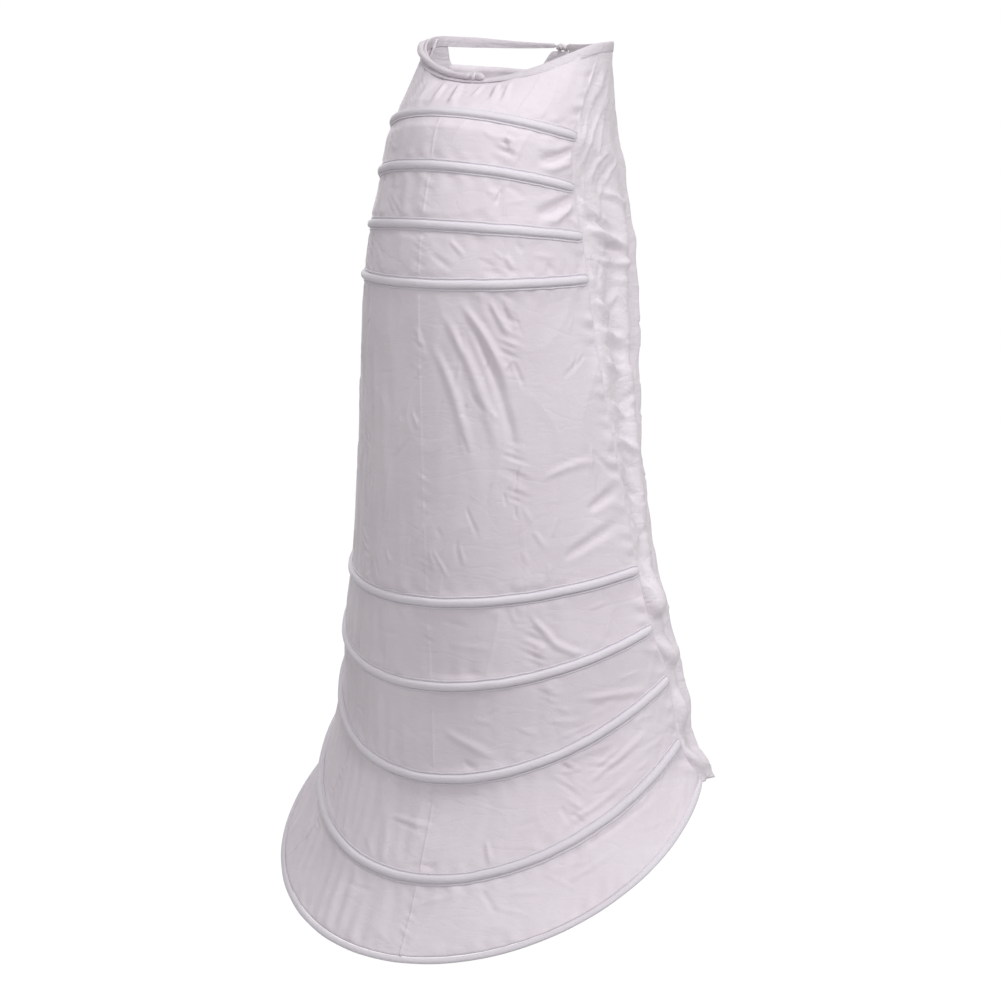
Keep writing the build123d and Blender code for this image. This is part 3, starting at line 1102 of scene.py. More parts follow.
@dataclass
class BackCloth:
    """The four gores of the hooped back."""

    form: Form
    cloth: Cloth
    wardrobe: Wardrobe
    sway: Hills = Hills(0.0012, 0.075, 0.22, SEED + 1)
    streaks: Hills = Hills(0.00020, 0.011, 0.09, SEED + 2)
    streaks_left: float = 2.0
    creases: Hills = Hills(0.0009, 0.060, 0.090, SEED + 4)
    drag: Hills = Hills(0.0008, 0.011, 0.050, SEED + 3)
    drag_reach: float = 0.013
    seams: tuple[Seam, ...] = (
        Seam(-1, 0.012, 0.0011, -0.00015, 0.0002),
        Seam(0, 0.008, 0.0007, 0.0006, -0.0003),
        Seam(1, 0.012, 0.0011, -0.00015, 0.0002),
    )
    welt: float = 0.0018
    side_pucker: float = 0.0017
    side_reach: float = 0.016
    side_flat: float = 0.004
    small_count: int = 170
    plain: Pair = (0.28, 0.62)
    folds: tuple[Fold, ...] = (
        Fold((-1.0, 0.083), (-0.70, 0.108), 0.008, -0.0055, 0.004),
        Fold((-1.0, 0.096), (-0.76, 0.122), 0.006, 0.0026),
        Fold((-1.0, 0.141), (-0.66, 0.178), 0.009, -0.0060, 0.004),
        Fold((-0.98, 0.156), (-0.76, 0.190), 0.006, 0.0026),
        Fold((-1.0, 0.066), (-0.86, 0.078), 0.006, 0.0024),
        Fold((-0.21, 0.046), (-0.31, 0.062), 0.004, 0.0028),
        Fold((-0.30, 0.047), (-0.38, 0.062), 0.004, 0.0022),
        Fold((-0.10, 0.045), (-0.14, 0.058), 0.004, 0.0018),
        Fold((0.08, 0.044), (-0.05, 0.070), 0.005, 0.0032),
        Fold((0.20, 0.046), (0.13, 0.066), 0.005, 0.0022),
        Fold((-0.49, 0.088), (-0.56, 0.106), 0.004, 0.0022),
        Fold((-0.49, 0.150), (-0.44, 0.172), 0.004, -0.0022),
        Fold((-0.50, 0.228), (-0.55, 0.247), 0.004, 0.0020),
        Fold((-0.24, 0.282), (-0.505, 0.400), 0.007, 0.0030, 0.006),
        Fold((-0.13, 0.290), (-0.42, 0.480), 0.008, 0.0026, 0.010),
        Fold((-0.30, 0.304), (-0.50, 0.491), 0.007, -0.0026, 0.008),
        Fold((-0.07, 0.327), (-0.27, 0.490), 0.008, 0.0022, 0.010),
        Fold((-0.40, 0.280), (-0.51, 0.330), 0.005, 0.0026),
        Fold((-0.46, 0.282), (-0.53, 0.317), 0.005, -0.0020),
        Fold((-0.595, 0.494), (-0.905, 0.484), 0.006, 0.0018, 0.004),
        Fold((-0.65, 0.591), (-0.98, 0.560), 0.008, -0.0030),
        Fold((-0.80, 0.540), (-0.99, 0.520), 0.008, -0.0034),
        Fold((-0.485, 0.650), (-0.59, 0.702), 0.005, 0.0022),
        Fold((-0.535, 0.685), (-0.74, 0.740), 0.006, 0.0020),
        Fold((-0.04, 0.777), (-0.285, 0.819), 0.006, 0.0016),
        Fold((-0.515, 0.842), (-0.75, 0.861), 0.006, 0.0018),
        Fold((-0.627, 0.776), (-0.91, 0.826), 0.006, 0.0018),
        Fold((-0.50, 0.925), (-0.81, 0.921), 0.006, 0.0018),
        Fold((-0.55, 0.961), (-0.86, 0.971), 0.006, -0.0018),
        Fold((-0.58, 0.890), (-0.90, 0.880), 0.006, 0.0018),
    )

    def __post_init__(self) -> None:
        """Measures the back."""
        self.chart = Chart(self.form, Part.BACK)
        self.small = self.small_folds()

    def small_folds(self) -> list[Fold]:
        """Scatters short creases over the back, steeper in its long plain part.

        Returns:
            The creases as folds.
        """
        rng = np.random.default_rng(SEED)
        folds = []
        for _ in range(self.small_count):
            s = rng.uniform(-0.95, 0.95)
            drop = rng.uniform(0.08, 1.0)
            steep = self.plain[0] < drop < self.plain[1]
            run = rng.uniform(0.015, 0.05)
            lean = rng.normal(0, 0.35) if steep else rng.normal(1.2, 0.5)
            end = (s - run * math.sin(lean) / 0.2, drop + run * math.cos(lean) * 0.9)
            height = rng.uniform(0.0005, 0.0014) * rng.choice([-1, 1])
            folds.append(Fold((s, drop), end, rng.uniform(0.0025, 0.005), height))
        return folds

    def seam_relief(self, s: Array, drop: Array, across: Array, down: Array) -> Array:
        """Height of the puckers and the edges along the three seams.

        Args:
            s: share of the way to the side seam.
            drop: drop of the place.
            across: distance across from the centre back.
            down: distance down from the waist.

        Returns:
            Heights in metres.
        """
        height = 0 * across
        for k, seam in enumerate(self.seams):
            line = seam.side * self.form.size("seam", drop)
            gap = np.abs(across - self.chart.place(line, drop)[0])
            near = np.exp(-(gap / seam.width) ** 2)
            groups = smooth(waves(0 * down, down, 1.0, 0.060, SEED + 8 + k) + 0.4)
            ripple = waves(across * 0.4, down + across * 0.5, 0.02, 0.0050, SEED + 5 + k)
            height = height + seam.pucker * near * groups * ripple
            edge = np.where(s < line, seam.right, seam.left)
            height = height + edge * np.exp(-(gap / self.welt) ** 2)
        return height

    def relief(self, s: Array, drop: Array) -> Array:
        """Height of the wrinkles over the back's plain form.

        Args:
            s: share of the way to the side seam.
            drop: drop of the place.

        Returns:
            Heights in metres, 0 under the casings.
        """
        across, down = self.chart.place(s, drop)
        step = 0.002
        below, above = (self.chart.place(s, drop + turn * step)[1] for turn in (1, -1))
        scale = (below - above) / (2 * step)
        left = smooth(across / 0.03)
        height = self.sway.soft(across, down) + self.creases.sharp(across, down)
        height = height + (1 + self.streaks_left * left) * self.streaks.soft(across, down)
        near = self.cloth.hoop_distance(drop, scale) - self.cloth.casing_half
        tight = np.exp(-(near / self.drag_reach) ** 2)
        height = height + tight * self.drag.soft(across, down)
        height = height + self.seam_relief(s, drop, across, down)
        gap = np.abs(self.chart.place(np.sign(s), drop)[0] - across)
        ripple = waves(across * 0.3, down + across * 0.2, 0.03, 0.011, SEED + 12)
        height = height + self.side_pucker * np.exp(-(gap / self.side_reach) ** 2) * ripple
        for fold in (*self.folds, *self.small):
            height = height + self.chart.fold_relief(fold, across, down)
        return height * self.cloth.calm(drop, scale) * smooth(gap / self.side_flat)

    def grid(self, low: str, high: str, side: int) -> tuple[Array, Array, Array]:
        """Grid of one gore's outer face, with its edges turned in at the seams.

        Args:
            low: "centre" or "seam", the gore's edge nearer the centre back.
            high: "seam" or "side", its other edge.
            side: 1 for the left half and -1 for the right half.

        Returns:
            Points, and the distances across and down.
        """
        top, bottom = self.form.waist.drop, self.form.hem.drop
        samples = 900
        fine = np.linspace(0, 1, samples)
        drops = top + (bottom - top) * fine
        run = self.chart.place(np.full(samples, side * 0.5), drops)[1]
        total = run[-1]
        rows = int(total / self.cloth.pitch)
        room = self.cloth.edge_room / total
        last = 1 - self.cloth.hem_clear / total
        share = np.interp(np.linspace(room, last, rows), run / total, fine)
        drop = (top + (bottom - top) * share)[:, None]
        a = 0 * drop if low == "centre" else self.form.size("seam", drop)
        b = 1 + 0 * drop if high == "side" else self.form.size("seam", drop)
        wide = np.abs(self.chart.place(b, drop)[0] - self.chart.place(a, drop)[0])
        columns = int(wide.max() / self.cloth.pitch)
        gap = self.cloth.seam_gap / wide * (b - a)
        u = self.cloth.narrow_ends(columns, float(wide.mean()))[None, :]
        s = side * (a + gap + (b - a - 2 * gap) * u)
        drop = np.broadcast_to(drop, s.shape)
        p, _, _, out = self.form.frames(Part.BACK, s, drop)
        grid = p + out * self.relief(s, drop)[..., None]
        across, down = self.chart.place(s, drop)
        return self.cloth.turned(grid, out, across, down)

    def build(self) -> None:
        """Makes and dresses the four gores, from the wearer's left to the right."""
        kinds = (("side_gore", "seam", "side"), ("back_gore", "centre", "seam"))
        for name, side in (("left", 1), ("right", -1)):
            for kind, low, high in kinds:
                node = f"{kind}_{name}"
                grid, across, down = self.grid(low, high, side)
                piece = Mesh.sheet(f"{node}_cloth", grid, across, down, self.cloth.thickness)
                self.wardrobe.dress(piece, GORE, node)


@dataclass
class FrontCloth:
    """The soft front, which hangs loose between the side seams, and its facing."""

    form: Form
    cloth: Cloth
    wardrobe: Wardrobe
    pitch: float = 0.0037
    half_cut: float = 0.33
    cut_length: float = 0.98
    lower_share: float = 1.15
    side_gap: float = 0.000033
    hem_gap: float = 0.0003
    crowding: float = 0.25
    band_height: float = 0.012
    tuck: float = 0.003
    scoop_depth: float = 0.020
    scoop_start: float = 5.0
    scoop_end: float = 78.0
    scoop_edge: float = 10.0
    facing_height: float = 0.020
    facing_gap: float = 0.0012
    facing_thickness: float = 0.0010
    sway: Hills = Hills(0.0016, 0.045, 0.20, SEED + 21)
    dents: Hills = Hills(0.0010, 0.018, 0.035, SEED + 22)
    creases: Hills = Hills(0.0012, 0.045, 0.060, SEED + 24)
    crowd: Hills = Hills(0.0014, 0.04, 0.014, SEED + 23)
    crowd_reach: float = 0.030
    small_count: int = 150
    folds: tuple[Fold, ...] = (
        Fold((-0.86, 0.046), (-0.99, 0.070), 0.0045, 0.0030),
        Fold((-0.80, 0.046), (-0.985, 0.100), 0.0050, 0.0034, 0.004),
        Fold((-0.76, 0.046), (-0.95, 0.092), 0.0045, -0.0024, 0.004),
        Fold((-0.85, 0.058), (-0.94, 0.090), 0.0045, -0.0024, 0.003),
        Fold((-0.72, 0.052), (-0.99, 0.128), 0.0050, 0.0030, 0.005),
        Fold((-0.78, 0.060), (-0.85, 0.116), 0.0045, 0.0026, 0.006),
        Fold((-0.74, 0.085), (-0.93, 0.134), 0.0050, 0.0028, 0.006),
        Fold((-0.70, 0.100), (-0.86, 0.150), 0.0050, -0.0024, 0.006),
        Fold((-0.66, 0.094), (-0.90, 0.168), 0.0045, 0.0026, 0.006),
        Fold((-0.985, 0.145), (-0.90, 0.200), 0.007, 0.0055, -0.006),
        Fold((-0.86, 0.140), (-0.60, 0.182), 0.007, 0.0038, -0.006),
        Fold((-0.985, 0.172), (-0.80, 0.205), 0.007, -0.0048, -0.006),
        Fold((-0.985, 0.190), (-0.73, 0.231), 0.008, 0.0055, -0.008),
        Fold((-0.95, 0.212), (-0.70, 0.246), 0.006, -0.0040, -0.006),
        Fold((-0.94, 0.239), (-0.60, 0.262), 0.007, 0.0038, -0.004),
        Fold((-0.98, 0.290), (-0.90, 0.336), 0.007, 0.0050, -0.006),
        Fold((-0.98, 0.330), (-0.78, 0.356), 0.007, 0.0045, -0.005),
        Fold((-0.98, 0.346), (-0.80, 0.372), 0.006, -0.0036, -0.005),
        Fold((-0.975, 0.368), (-0.84, 0.392), 0.007, 0.0036),
        Fold((-0.97, 0.417), (-0.85, 0.446), 0.007, 0.0040),
        Fold((-0.99, 0.465), (-0.82, 0.489), 0.008, 0.0042, -0.006),
        Fold((-0.99, 0.513), (-0.87, 0.543), 0.008, -0.0040),
        Fold((-0.988, 0.564), (-0.93, 0.599), 0.007, 0.0036),
    )

    def __post_init__(self) -> None:
        """Measures the front and scatters its creases."""
        self.chart = Chart(self.form, Part.FRONT)
        rng = np.random.default_rng(SEED + 40)
        self.small = []
        for _ in range(self.small_count):
            side = rng.choice([-1, 1])
            near = abs(rng.normal(0, 0.16))
            s = side * (0.98 - min(near, 0.9))
            drop = rng.uniform(0.12, 1.0)
            run = rng.uniform(0.02, 0.06)
            lean = rng.normal(math.pi / 2, 0.45)
            end = (s - side * run * math.sin(lean) / 0.3, drop + run * math.cos(lean))
            height = rng.uniform(0.0007, 0.0020) * rng.choice([-1, 1])
            height = height * (0.5 if drop > 0.6 else 1.0)
            self.small.append(Fold((s, drop), end, rng.uniform(0.003, 0.006), height,
                                   rng.normal(0, 0.004)))

    def sag(self, s: Array) -> Array:
        """How far the cloth's top edge lies below the band's top, down the cloth.

        Args:
            s: share of the way to the side seam.

        Returns:
            Depths in metres, greater in the gap on the left.
        """
        angle = (1 - s) * QUARTER
        into = smooth((QUARTER - self.scoop_start - angle) / self.scoop_edge)
        out = smooth((angle - (QUARTER - self.scoop_end)) / self.scoop_edge)
        edge = self.band_height - self.tuck
        return edge + np.where(s < 0, 0, (self.scoop_depth + self.tuck) * into * out)

    def relief(self, s: Array, drop: Array) -> Array:
        """Height of the front's folds and creases.

        Args:
            s: share of the way to the side seam.
            drop: drop of the place.

        Returns:
            Heights in metres, 0 at the side seams, the waist and the hem.
        """
        across, down = self.chart.place(s, drop)
        gap = np.abs(self.chart.place(np.sign(s), drop)[0] - across)
        height = self.sway.soft(across, down) + self.dents.soft(across, down)
        height = height + self.creases.sharp(across, down)
        near = np.exp(-(gap / self.crowd_reach) ** 2) * smooth((drop - 0.12) / 0.06)
        height = height + near * self.crowd.soft(across * 0.4, down + np.abs(across) * 0.3)
        for fold in (*self.folds, *self.small):
            height = height + self.chart.fold_relief(fold, across, down)
        free = smooth((down - self.band_height) / 0.03) * smooth(gap / 0.007)
        return height * free * smooth((self.form.hem.drop - drop) / 0.012)

    def edge_drop(self, s: Array) -> Array:
        """Finds the drop of the cloth's top edge.

        Args:
            s: share of the way to the side seam.

        Returns:
            The drop at each share.
        """
        drop = np.full(s.shape, self.form.waist.drop)
        wanted = self.sag(s)
        for _ in range(6):
            middle = (drop + self.form.waist.drop) / 2
            _, _, up, _ = self.form.frames(Part.FRONT, s, middle)
            step = self.form.step
            a = self.form.cloth(Part.FRONT, s, middle - step)
            b = self.form.cloth(Part.FRONT, s, middle + step)
            rate = ((a - b) * up).sum(-1) / (2 * step)
            drop = self.form.waist.drop + wanted / rate
        return drop

    def build(self) -> None:
        """Makes and dresses the front and its facing."""
        end = 1 - self.side_gap / self.half_cut
        wide = 2 * self.half_cut
        x = 2 * self.cloth.narrow_ends(int(wide / self.pitch), wide) - 1
        s = -end * x * (1 + self.crowding * (1 - x * x))
        first = self.edge_drop(s)[None, :]
        rows = int(self.cut_length / self.pitch)
        u = np.linspace(0, 1, rows)[:, None] ** self.lower_share
        drop = first + (self.form.hem.drop - self.hem_gap - first) * u
        s = np.broadcast_to(s, drop.shape)
        p, _, _, out = self.form.frames(Part.FRONT, s, drop)
        grid = p + out * self.relief(s, drop)[..., None]
        across, down = self.chart.place(s, drop)
        grid, across, down = self.cloth.turned(grid, out, across, down)
        front = Mesh.sheet("front_panel_cloth", grid, across, down, self.cloth.thickness)
        self.wardrobe.dress(front, FRONT, "front_panel")
        facing = self.facing(end)

    def facing(self, end: float) -> bpy.types.Object:
        """Makes and dresses the folded strip inside the front's lower edge.

        Args:
            end: share of the way to the side seam at which the front ends.

        Returns:
            The strip.
        """
        end = end * 0.985
        low = self.form.hem.drop - self.facing_thickness
        rate = 1 - float(self.form.slopes(*self.form.table["rise"][:2])[-1])
        drop = low - np.linspace(self.facing_height / rate, 0, 6)[:, None]
        s = np.linspace(end, -end, int(0.6 / self.pitch))[None, :]
        s, drop = np.broadcast_arrays(s, drop)
        p, _, _, out = self.form.frames(Part.FRONT, s, drop)
        height = self.relief(s, drop) - self.cloth.thickness - self.facing_gap
        across, down = self.chart.place(s, drop)
        facing = Mesh.sheet("front_hem_facing_cloth", p + out * height[..., None], across, down,
                            self.facing_thickness)
        return self.wardrobe.dress(facing, FRONT, "front_hem_facing")


@dataclass
class Stitches:
    """Rows of sewing stitches, laid by Geometry Nodes on points with two directions."""

    wardrobe: Wardrobe
    length: float = 0.0019
    thickness: float = 0.00042
    pitch: float = 0.0029
    uneven: float = 0.18

    def tree(self) -> bpy.types.NodeTree:
        """Makes the node tree once: stitches on points, real meshes, one material.

        Returns:
            The tree, with named inputs for the sizes, the seed and the thread.
        """
        name = "stitch row"
        if name in bpy.data.node_groups:
            return bpy.data.node_groups[name]
        tree = bpy.data.node_groups.new(name, "GeometryNodeTree")
        inputs = {"Geometry": "Geometry", "Stitch Length": "Float", "Stitch Thickness": "Float",
                  "Uneven": "Float", "Seed": "Int", "Thread": "Material"}
        for label, kind in inputs.items():
            tree.interface.new_socket(label, in_out="INPUT", socket_type=f"NodeSocket{kind}")
        tree.interface.new_socket("Geometry", in_out="OUTPUT", socket_type="NodeSocketGeometry")
        nodes = Nodes(tree)
        given = nodes.add("NodeGroupInput").outputs
        bead = nodes.add("GeometryNodeMeshUVSphere", {"Segments": 6, "Rings": 4, "Radius": 0.5})
        thick = given["Stitch Thickness"]
        size = nodes.add("ShaderNodeCombineXYZ",
                         {"X": given["Stitch Length"], "Y": thick, "Z": thick})
        shaped = nodes.add("GeometryNodeTransform", {"Geometry": bead.outputs["Mesh"],
                                                     "Scale": size.outputs["Vector"]})
        along, out = (nodes.add("GeometryNodeInputNamedAttribute", {"Name": label},
                                data_type="FLOAT_VECTOR").outputs["Attribute"]
                      for label in ("along", "out"))
        turned = nodes.add("FunctionNodeAlignRotationToVector", {"Vector": along}, axis="X")
        turned = nodes.add("FunctionNodeAlignRotationToVector",
                           {"Vector": out, "Rotation": turned.outputs["Rotation"]},
                           axis="Z", pivot_axis="X")
        vary = nodes.add("FunctionNodeRandomValue", {"Seed": given["Seed"]}, data_type="FLOAT")
        low, high = [socket for socket in vary.inputs if socket.type == "VALUE"][:2]
        nodes.put(low, nodes.math("SUBTRACT", 1.0, given["Uneven"]))
        nodes.put(high, nodes.math("ADD", 1.0, given["Uneven"]))
        scale = next(socket for socket in vary.outputs if socket.type == "VALUE")
        lay = nodes.add("GeometryNodeInstanceOnPoints", {
            "Points": given["Geometry"],
            "Instance": shaped.outputs["Geometry"],
            "Rotation": turned.outputs["Rotation"],
            "Scale": scale,
        })
        real = nodes.add("GeometryNodeRealizeInstances", {"Geometry": lay.outputs["Instances"]})
        paint = nodes.add("GeometryNodeSetMaterial", {"Geometry": real.outputs["Geometry"],
                                                      "Material": given["Thread"]})
        nodes.add("NodeGroupOutput", {"Geometry": paint.outputs["Geometry"]})
        return tree

    def spaced(self, line: Array, out: Array) -> tuple[Array, Array, Array]:
        """Stitch places at an even pitch along a line.

        Args:
            line: points of the line.
            out: direction out of the cloth at each point.

        Returns:
            Places, directions along and directions out.
        """
        run = travelled(line)
        at = np.arange(self.pitch, run[-1] - self.pitch / 2, self.pitch)
        place = np.stack([np.interp(at, run, line[:, k]) for k in range(3)], -1)
        away = np.stack([np.interp(at, run, out[:, k]) for k in range(3)], -1)
        return place, unit(np.gradient(place, axis=0)), unit(away)

    def build(self, name: str, rows: list[tuple[Array, Array]], seed: int) -> None:
        """Sews rows of stitches as one piece with a plain mesh.

        Args:
            name: name of the piece.
            rows: for each row, the points of its line and the directions out.
            seed: makes the unevenness repeatable.
        """
        parts = [self.spaced(line, out) for line, out in rows]
        place, along, out = (np.concatenate([part[k] for part in parts]) for k in range(3))
        mesh = bpy.data.meshes.new(name + "_points")
        mesh.from_pydata(place.tolist(), [], [])
        for label, values in (("along", along), ("out", out)):
            attribute = mesh.attributes.new(label, "FLOAT_VECTOR", "POINT")
            attribute.data.foreach_set("vector", values.astype(np.float32).ravel())
        piece = in_scene(name, mesh)
        modifier = piece.modifiers.new("sewing", "NODES")
        tree = self.tree()
        modifier.node_group = tree
        values = {
            "Stitch Length": self.length,
            "Stitch Thickness": self.thickness,
            "Uneven": self.uneven,
            "Seed": seed,
            "Thread": self.wardrobe.material(THREAD),
        }
        for socket in tree.interface.items_tree:
            if socket.in_out == "INPUT" and socket.name in values:
                modifier[socket.identifier] = values[socket.name]
        graph = bpy.context.evaluated_depsgraph_get()
        graph.update()
        sewn = bpy.data.meshes.new_from_object(piece.evaluated_get(graph), depsgraph=graph)
        piece.modifiers.remove(modifier)
        piece.data = sewn
        sewn.name = name
        sewn.polygons.foreach_set("use_smooth", np.ones(len(sewn.polygons), bool))
        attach(piece, "root")
        log.info("%s: %d stitches", name, len(place))


@dataclass
class Casings:
    """The stitched casings of the eight half hoops, with their bones and tips."""

    form: Form
    cloth: Cloth
    wardrobe: Wardrobe
    stitches: Stitches
    channel: float = 0.0038
    height: float = 0.0035
    wall: float = 0.0008
    lift: float = 0.00025
    flange: float = 0.0011
    groove: float = 0.0022
    crown: float = 0.0003
    end_taper: float = 0.0090
    point_taper: float = 0.0160
    pointed: int = 2
    end_width: float = 0.55
    reach: float = 0.999
    pitch: float = 0.0030

    def profile(self) -> Array:
        """Outline of a casing: flat flanges, a rounded channel over the bone.

        Returns:
            Points as distances up the cloth and out of it, for one half turned round.
        """
        side, top = self.channel + self.wall, self.height + self.wall + self.crown
        half = self.cloth.casing_half
        groove = half - self.groove
        outer = [(half, 0.0), (half - 0.0001, self.flange * 0.7), (half - 0.0005, self.flange)]
        outer += [(groove + 0.0007, self.flange), (groove + 0.0002, self.flange * 0.30)]
        outer += [(groove - 0.0004, self.flange * 0.25), (side + 0.0001, self.flange * 0.5)]
        for turn in (6, 20, 36, 52, 68, 80, 90):
            a = math.radians(turn)
            outer.append((side * math.cos(a) ** 0.85 if turn < 90 else 0.0,
                          self.flange * 0.5 + (top - self.flange * 0.5) * math.sin(a) ** 0.9))
        inner = [(self.channel * 0.45, self.height + 0.0001),
                 (self.channel * 0.86, self.height * 0.86),
                 (self.channel, self.height * 0.45), (self.channel, 0.0)]
        mirror = [(-u, v) for u, v in reversed(outer[:-1])]
        back = [(-u, v) for u, v in reversed(inner)]
        return np.array(outer + mirror + back + inner)

    def rings(self, level: Level, taper: float, seed: int) -> tuple[Array, Array, list]:
        """Rings of a casing along its hoop, with its two stitch lines.

        Args:
            level: the hoop's level.
            taper: length over which each end narrows.
            seed: makes its unevenness repeatable.

        Returns:
            The rings, their distances along, and the stitch lines.
        """
        ends = taper * np.array([0.0, 0.12, 0.32, 0.60])
        at, near, p, up, out = self.cloth.hoop(level.drop, self.reach, ends, taper,
                                               self.pitch, 400)
        full = np.clip(near / taper, 0.02, 1) ** 0.35
        narrow = self.end_width + (1 - self.end_width) * full
        soft = 1 + 0.030 * ripples(at, 0.030, seed)
        sway = 0.00018 * ripples(at, 0.022, seed + 1)
        edge = 0.00022 * ripples(at, 0.009, seed + 2)
        across, height = self.profile().T[:, None]
        flat = np.abs(across) > self.channel + self.wall
        u = across * narrow[:, None] + sway[:, None]
        u = u + np.where(flat, np.sign(across) * edge[:, None], 0)
        v = self.lift + height * np.where(flat, 1, full[:, None] * soft[:, None])
        rows = []
        for side in (-1, 1):
            place = side * (self.cloth.casing_half - self.groove) * narrow + sway
            rise = self.lift + self.flange * 0.55
            rows.append((p + up * place[:, None] + out * rise, out))
        return swept(p, up, out, u, v), at, rows

    def build(self) -> None:
        """Makes and dresses the casings and their stitches, and dresses the bones and tips."""
        for k, level in enumerate(self.form.levels[1:-1]):
            taper = self.point_taper if k < self.pointed else self.end_taper
            rings, at, rows = self.rings(level, taper, SEED + 60 + 5 * k)
            casing = Mesh.tube(f"casing_{level.name}_cloth", rings, at)
            self.wardrobe.dress(casing, CASING, f"casing_{level.name}")
            self.stitches.build(f"casing_{level.name}_stitches", rows, SEED + k)
        for level in self.form.levels[1:]:
            self.wardrobe.dress_node(f"bone_{level.name}", STEEL)
            self.wardrobe.dress_node(f"bone_tips_{level.name}", PLASTIC)


@dataclass
class HemTube:
    """The turned-up hem, a narrow tube of cloth round the hem's bone."""

    form: Form
    cloth: Cloth
    wardrobe: Wardrobe
    stitches: Stitches
    half: float = 0.00365
    depth: float = 0.00225
    wall: float = 0.0007
    taper: float = 0.010
    end_size: float = 0.45
    corner: float = 0.85
    stitch_gap: float = 0.0012
    pitch: float = 0.0030
    sides: int = 20

    def build(self) -> None:
        """Makes and dresses the hem's tube with the row of stitches over it."""
        ends = np.array([0.0, 0.0010, 0.0028, 0.0055])
        at, near, p, up, out = self.cloth.hoop(self.form.hem.drop, 1, ends, self.taper,
                                               self.pitch, 600)
        full = self.end_size + (1 - self.end_size) * np.sqrt(np.clip(near / self.taper, 0, 1))
        full = full * (1 + 0.03 * ripples(at, 0.03, SEED + 90))
        angle = around(self.sides)
        u = self.half * (1 + squarer(np.cos(angle), self.corner) * full[:, None])
        v = self.depth * np.sin(angle) * full[:, None] - self.cloth.thickness / 2
        tube = Mesh.tube("hem_casing_cloth", swept(p, up, out, u, v), at)
        self.wardrobe.dress(tube, CASING, "casing_hem")
        row = (p + up * (2 * self.half + self.stitch_gap) + out * 0.0001, out)
        self.stitches.build("hem_stitches", [row], SEED + 30)


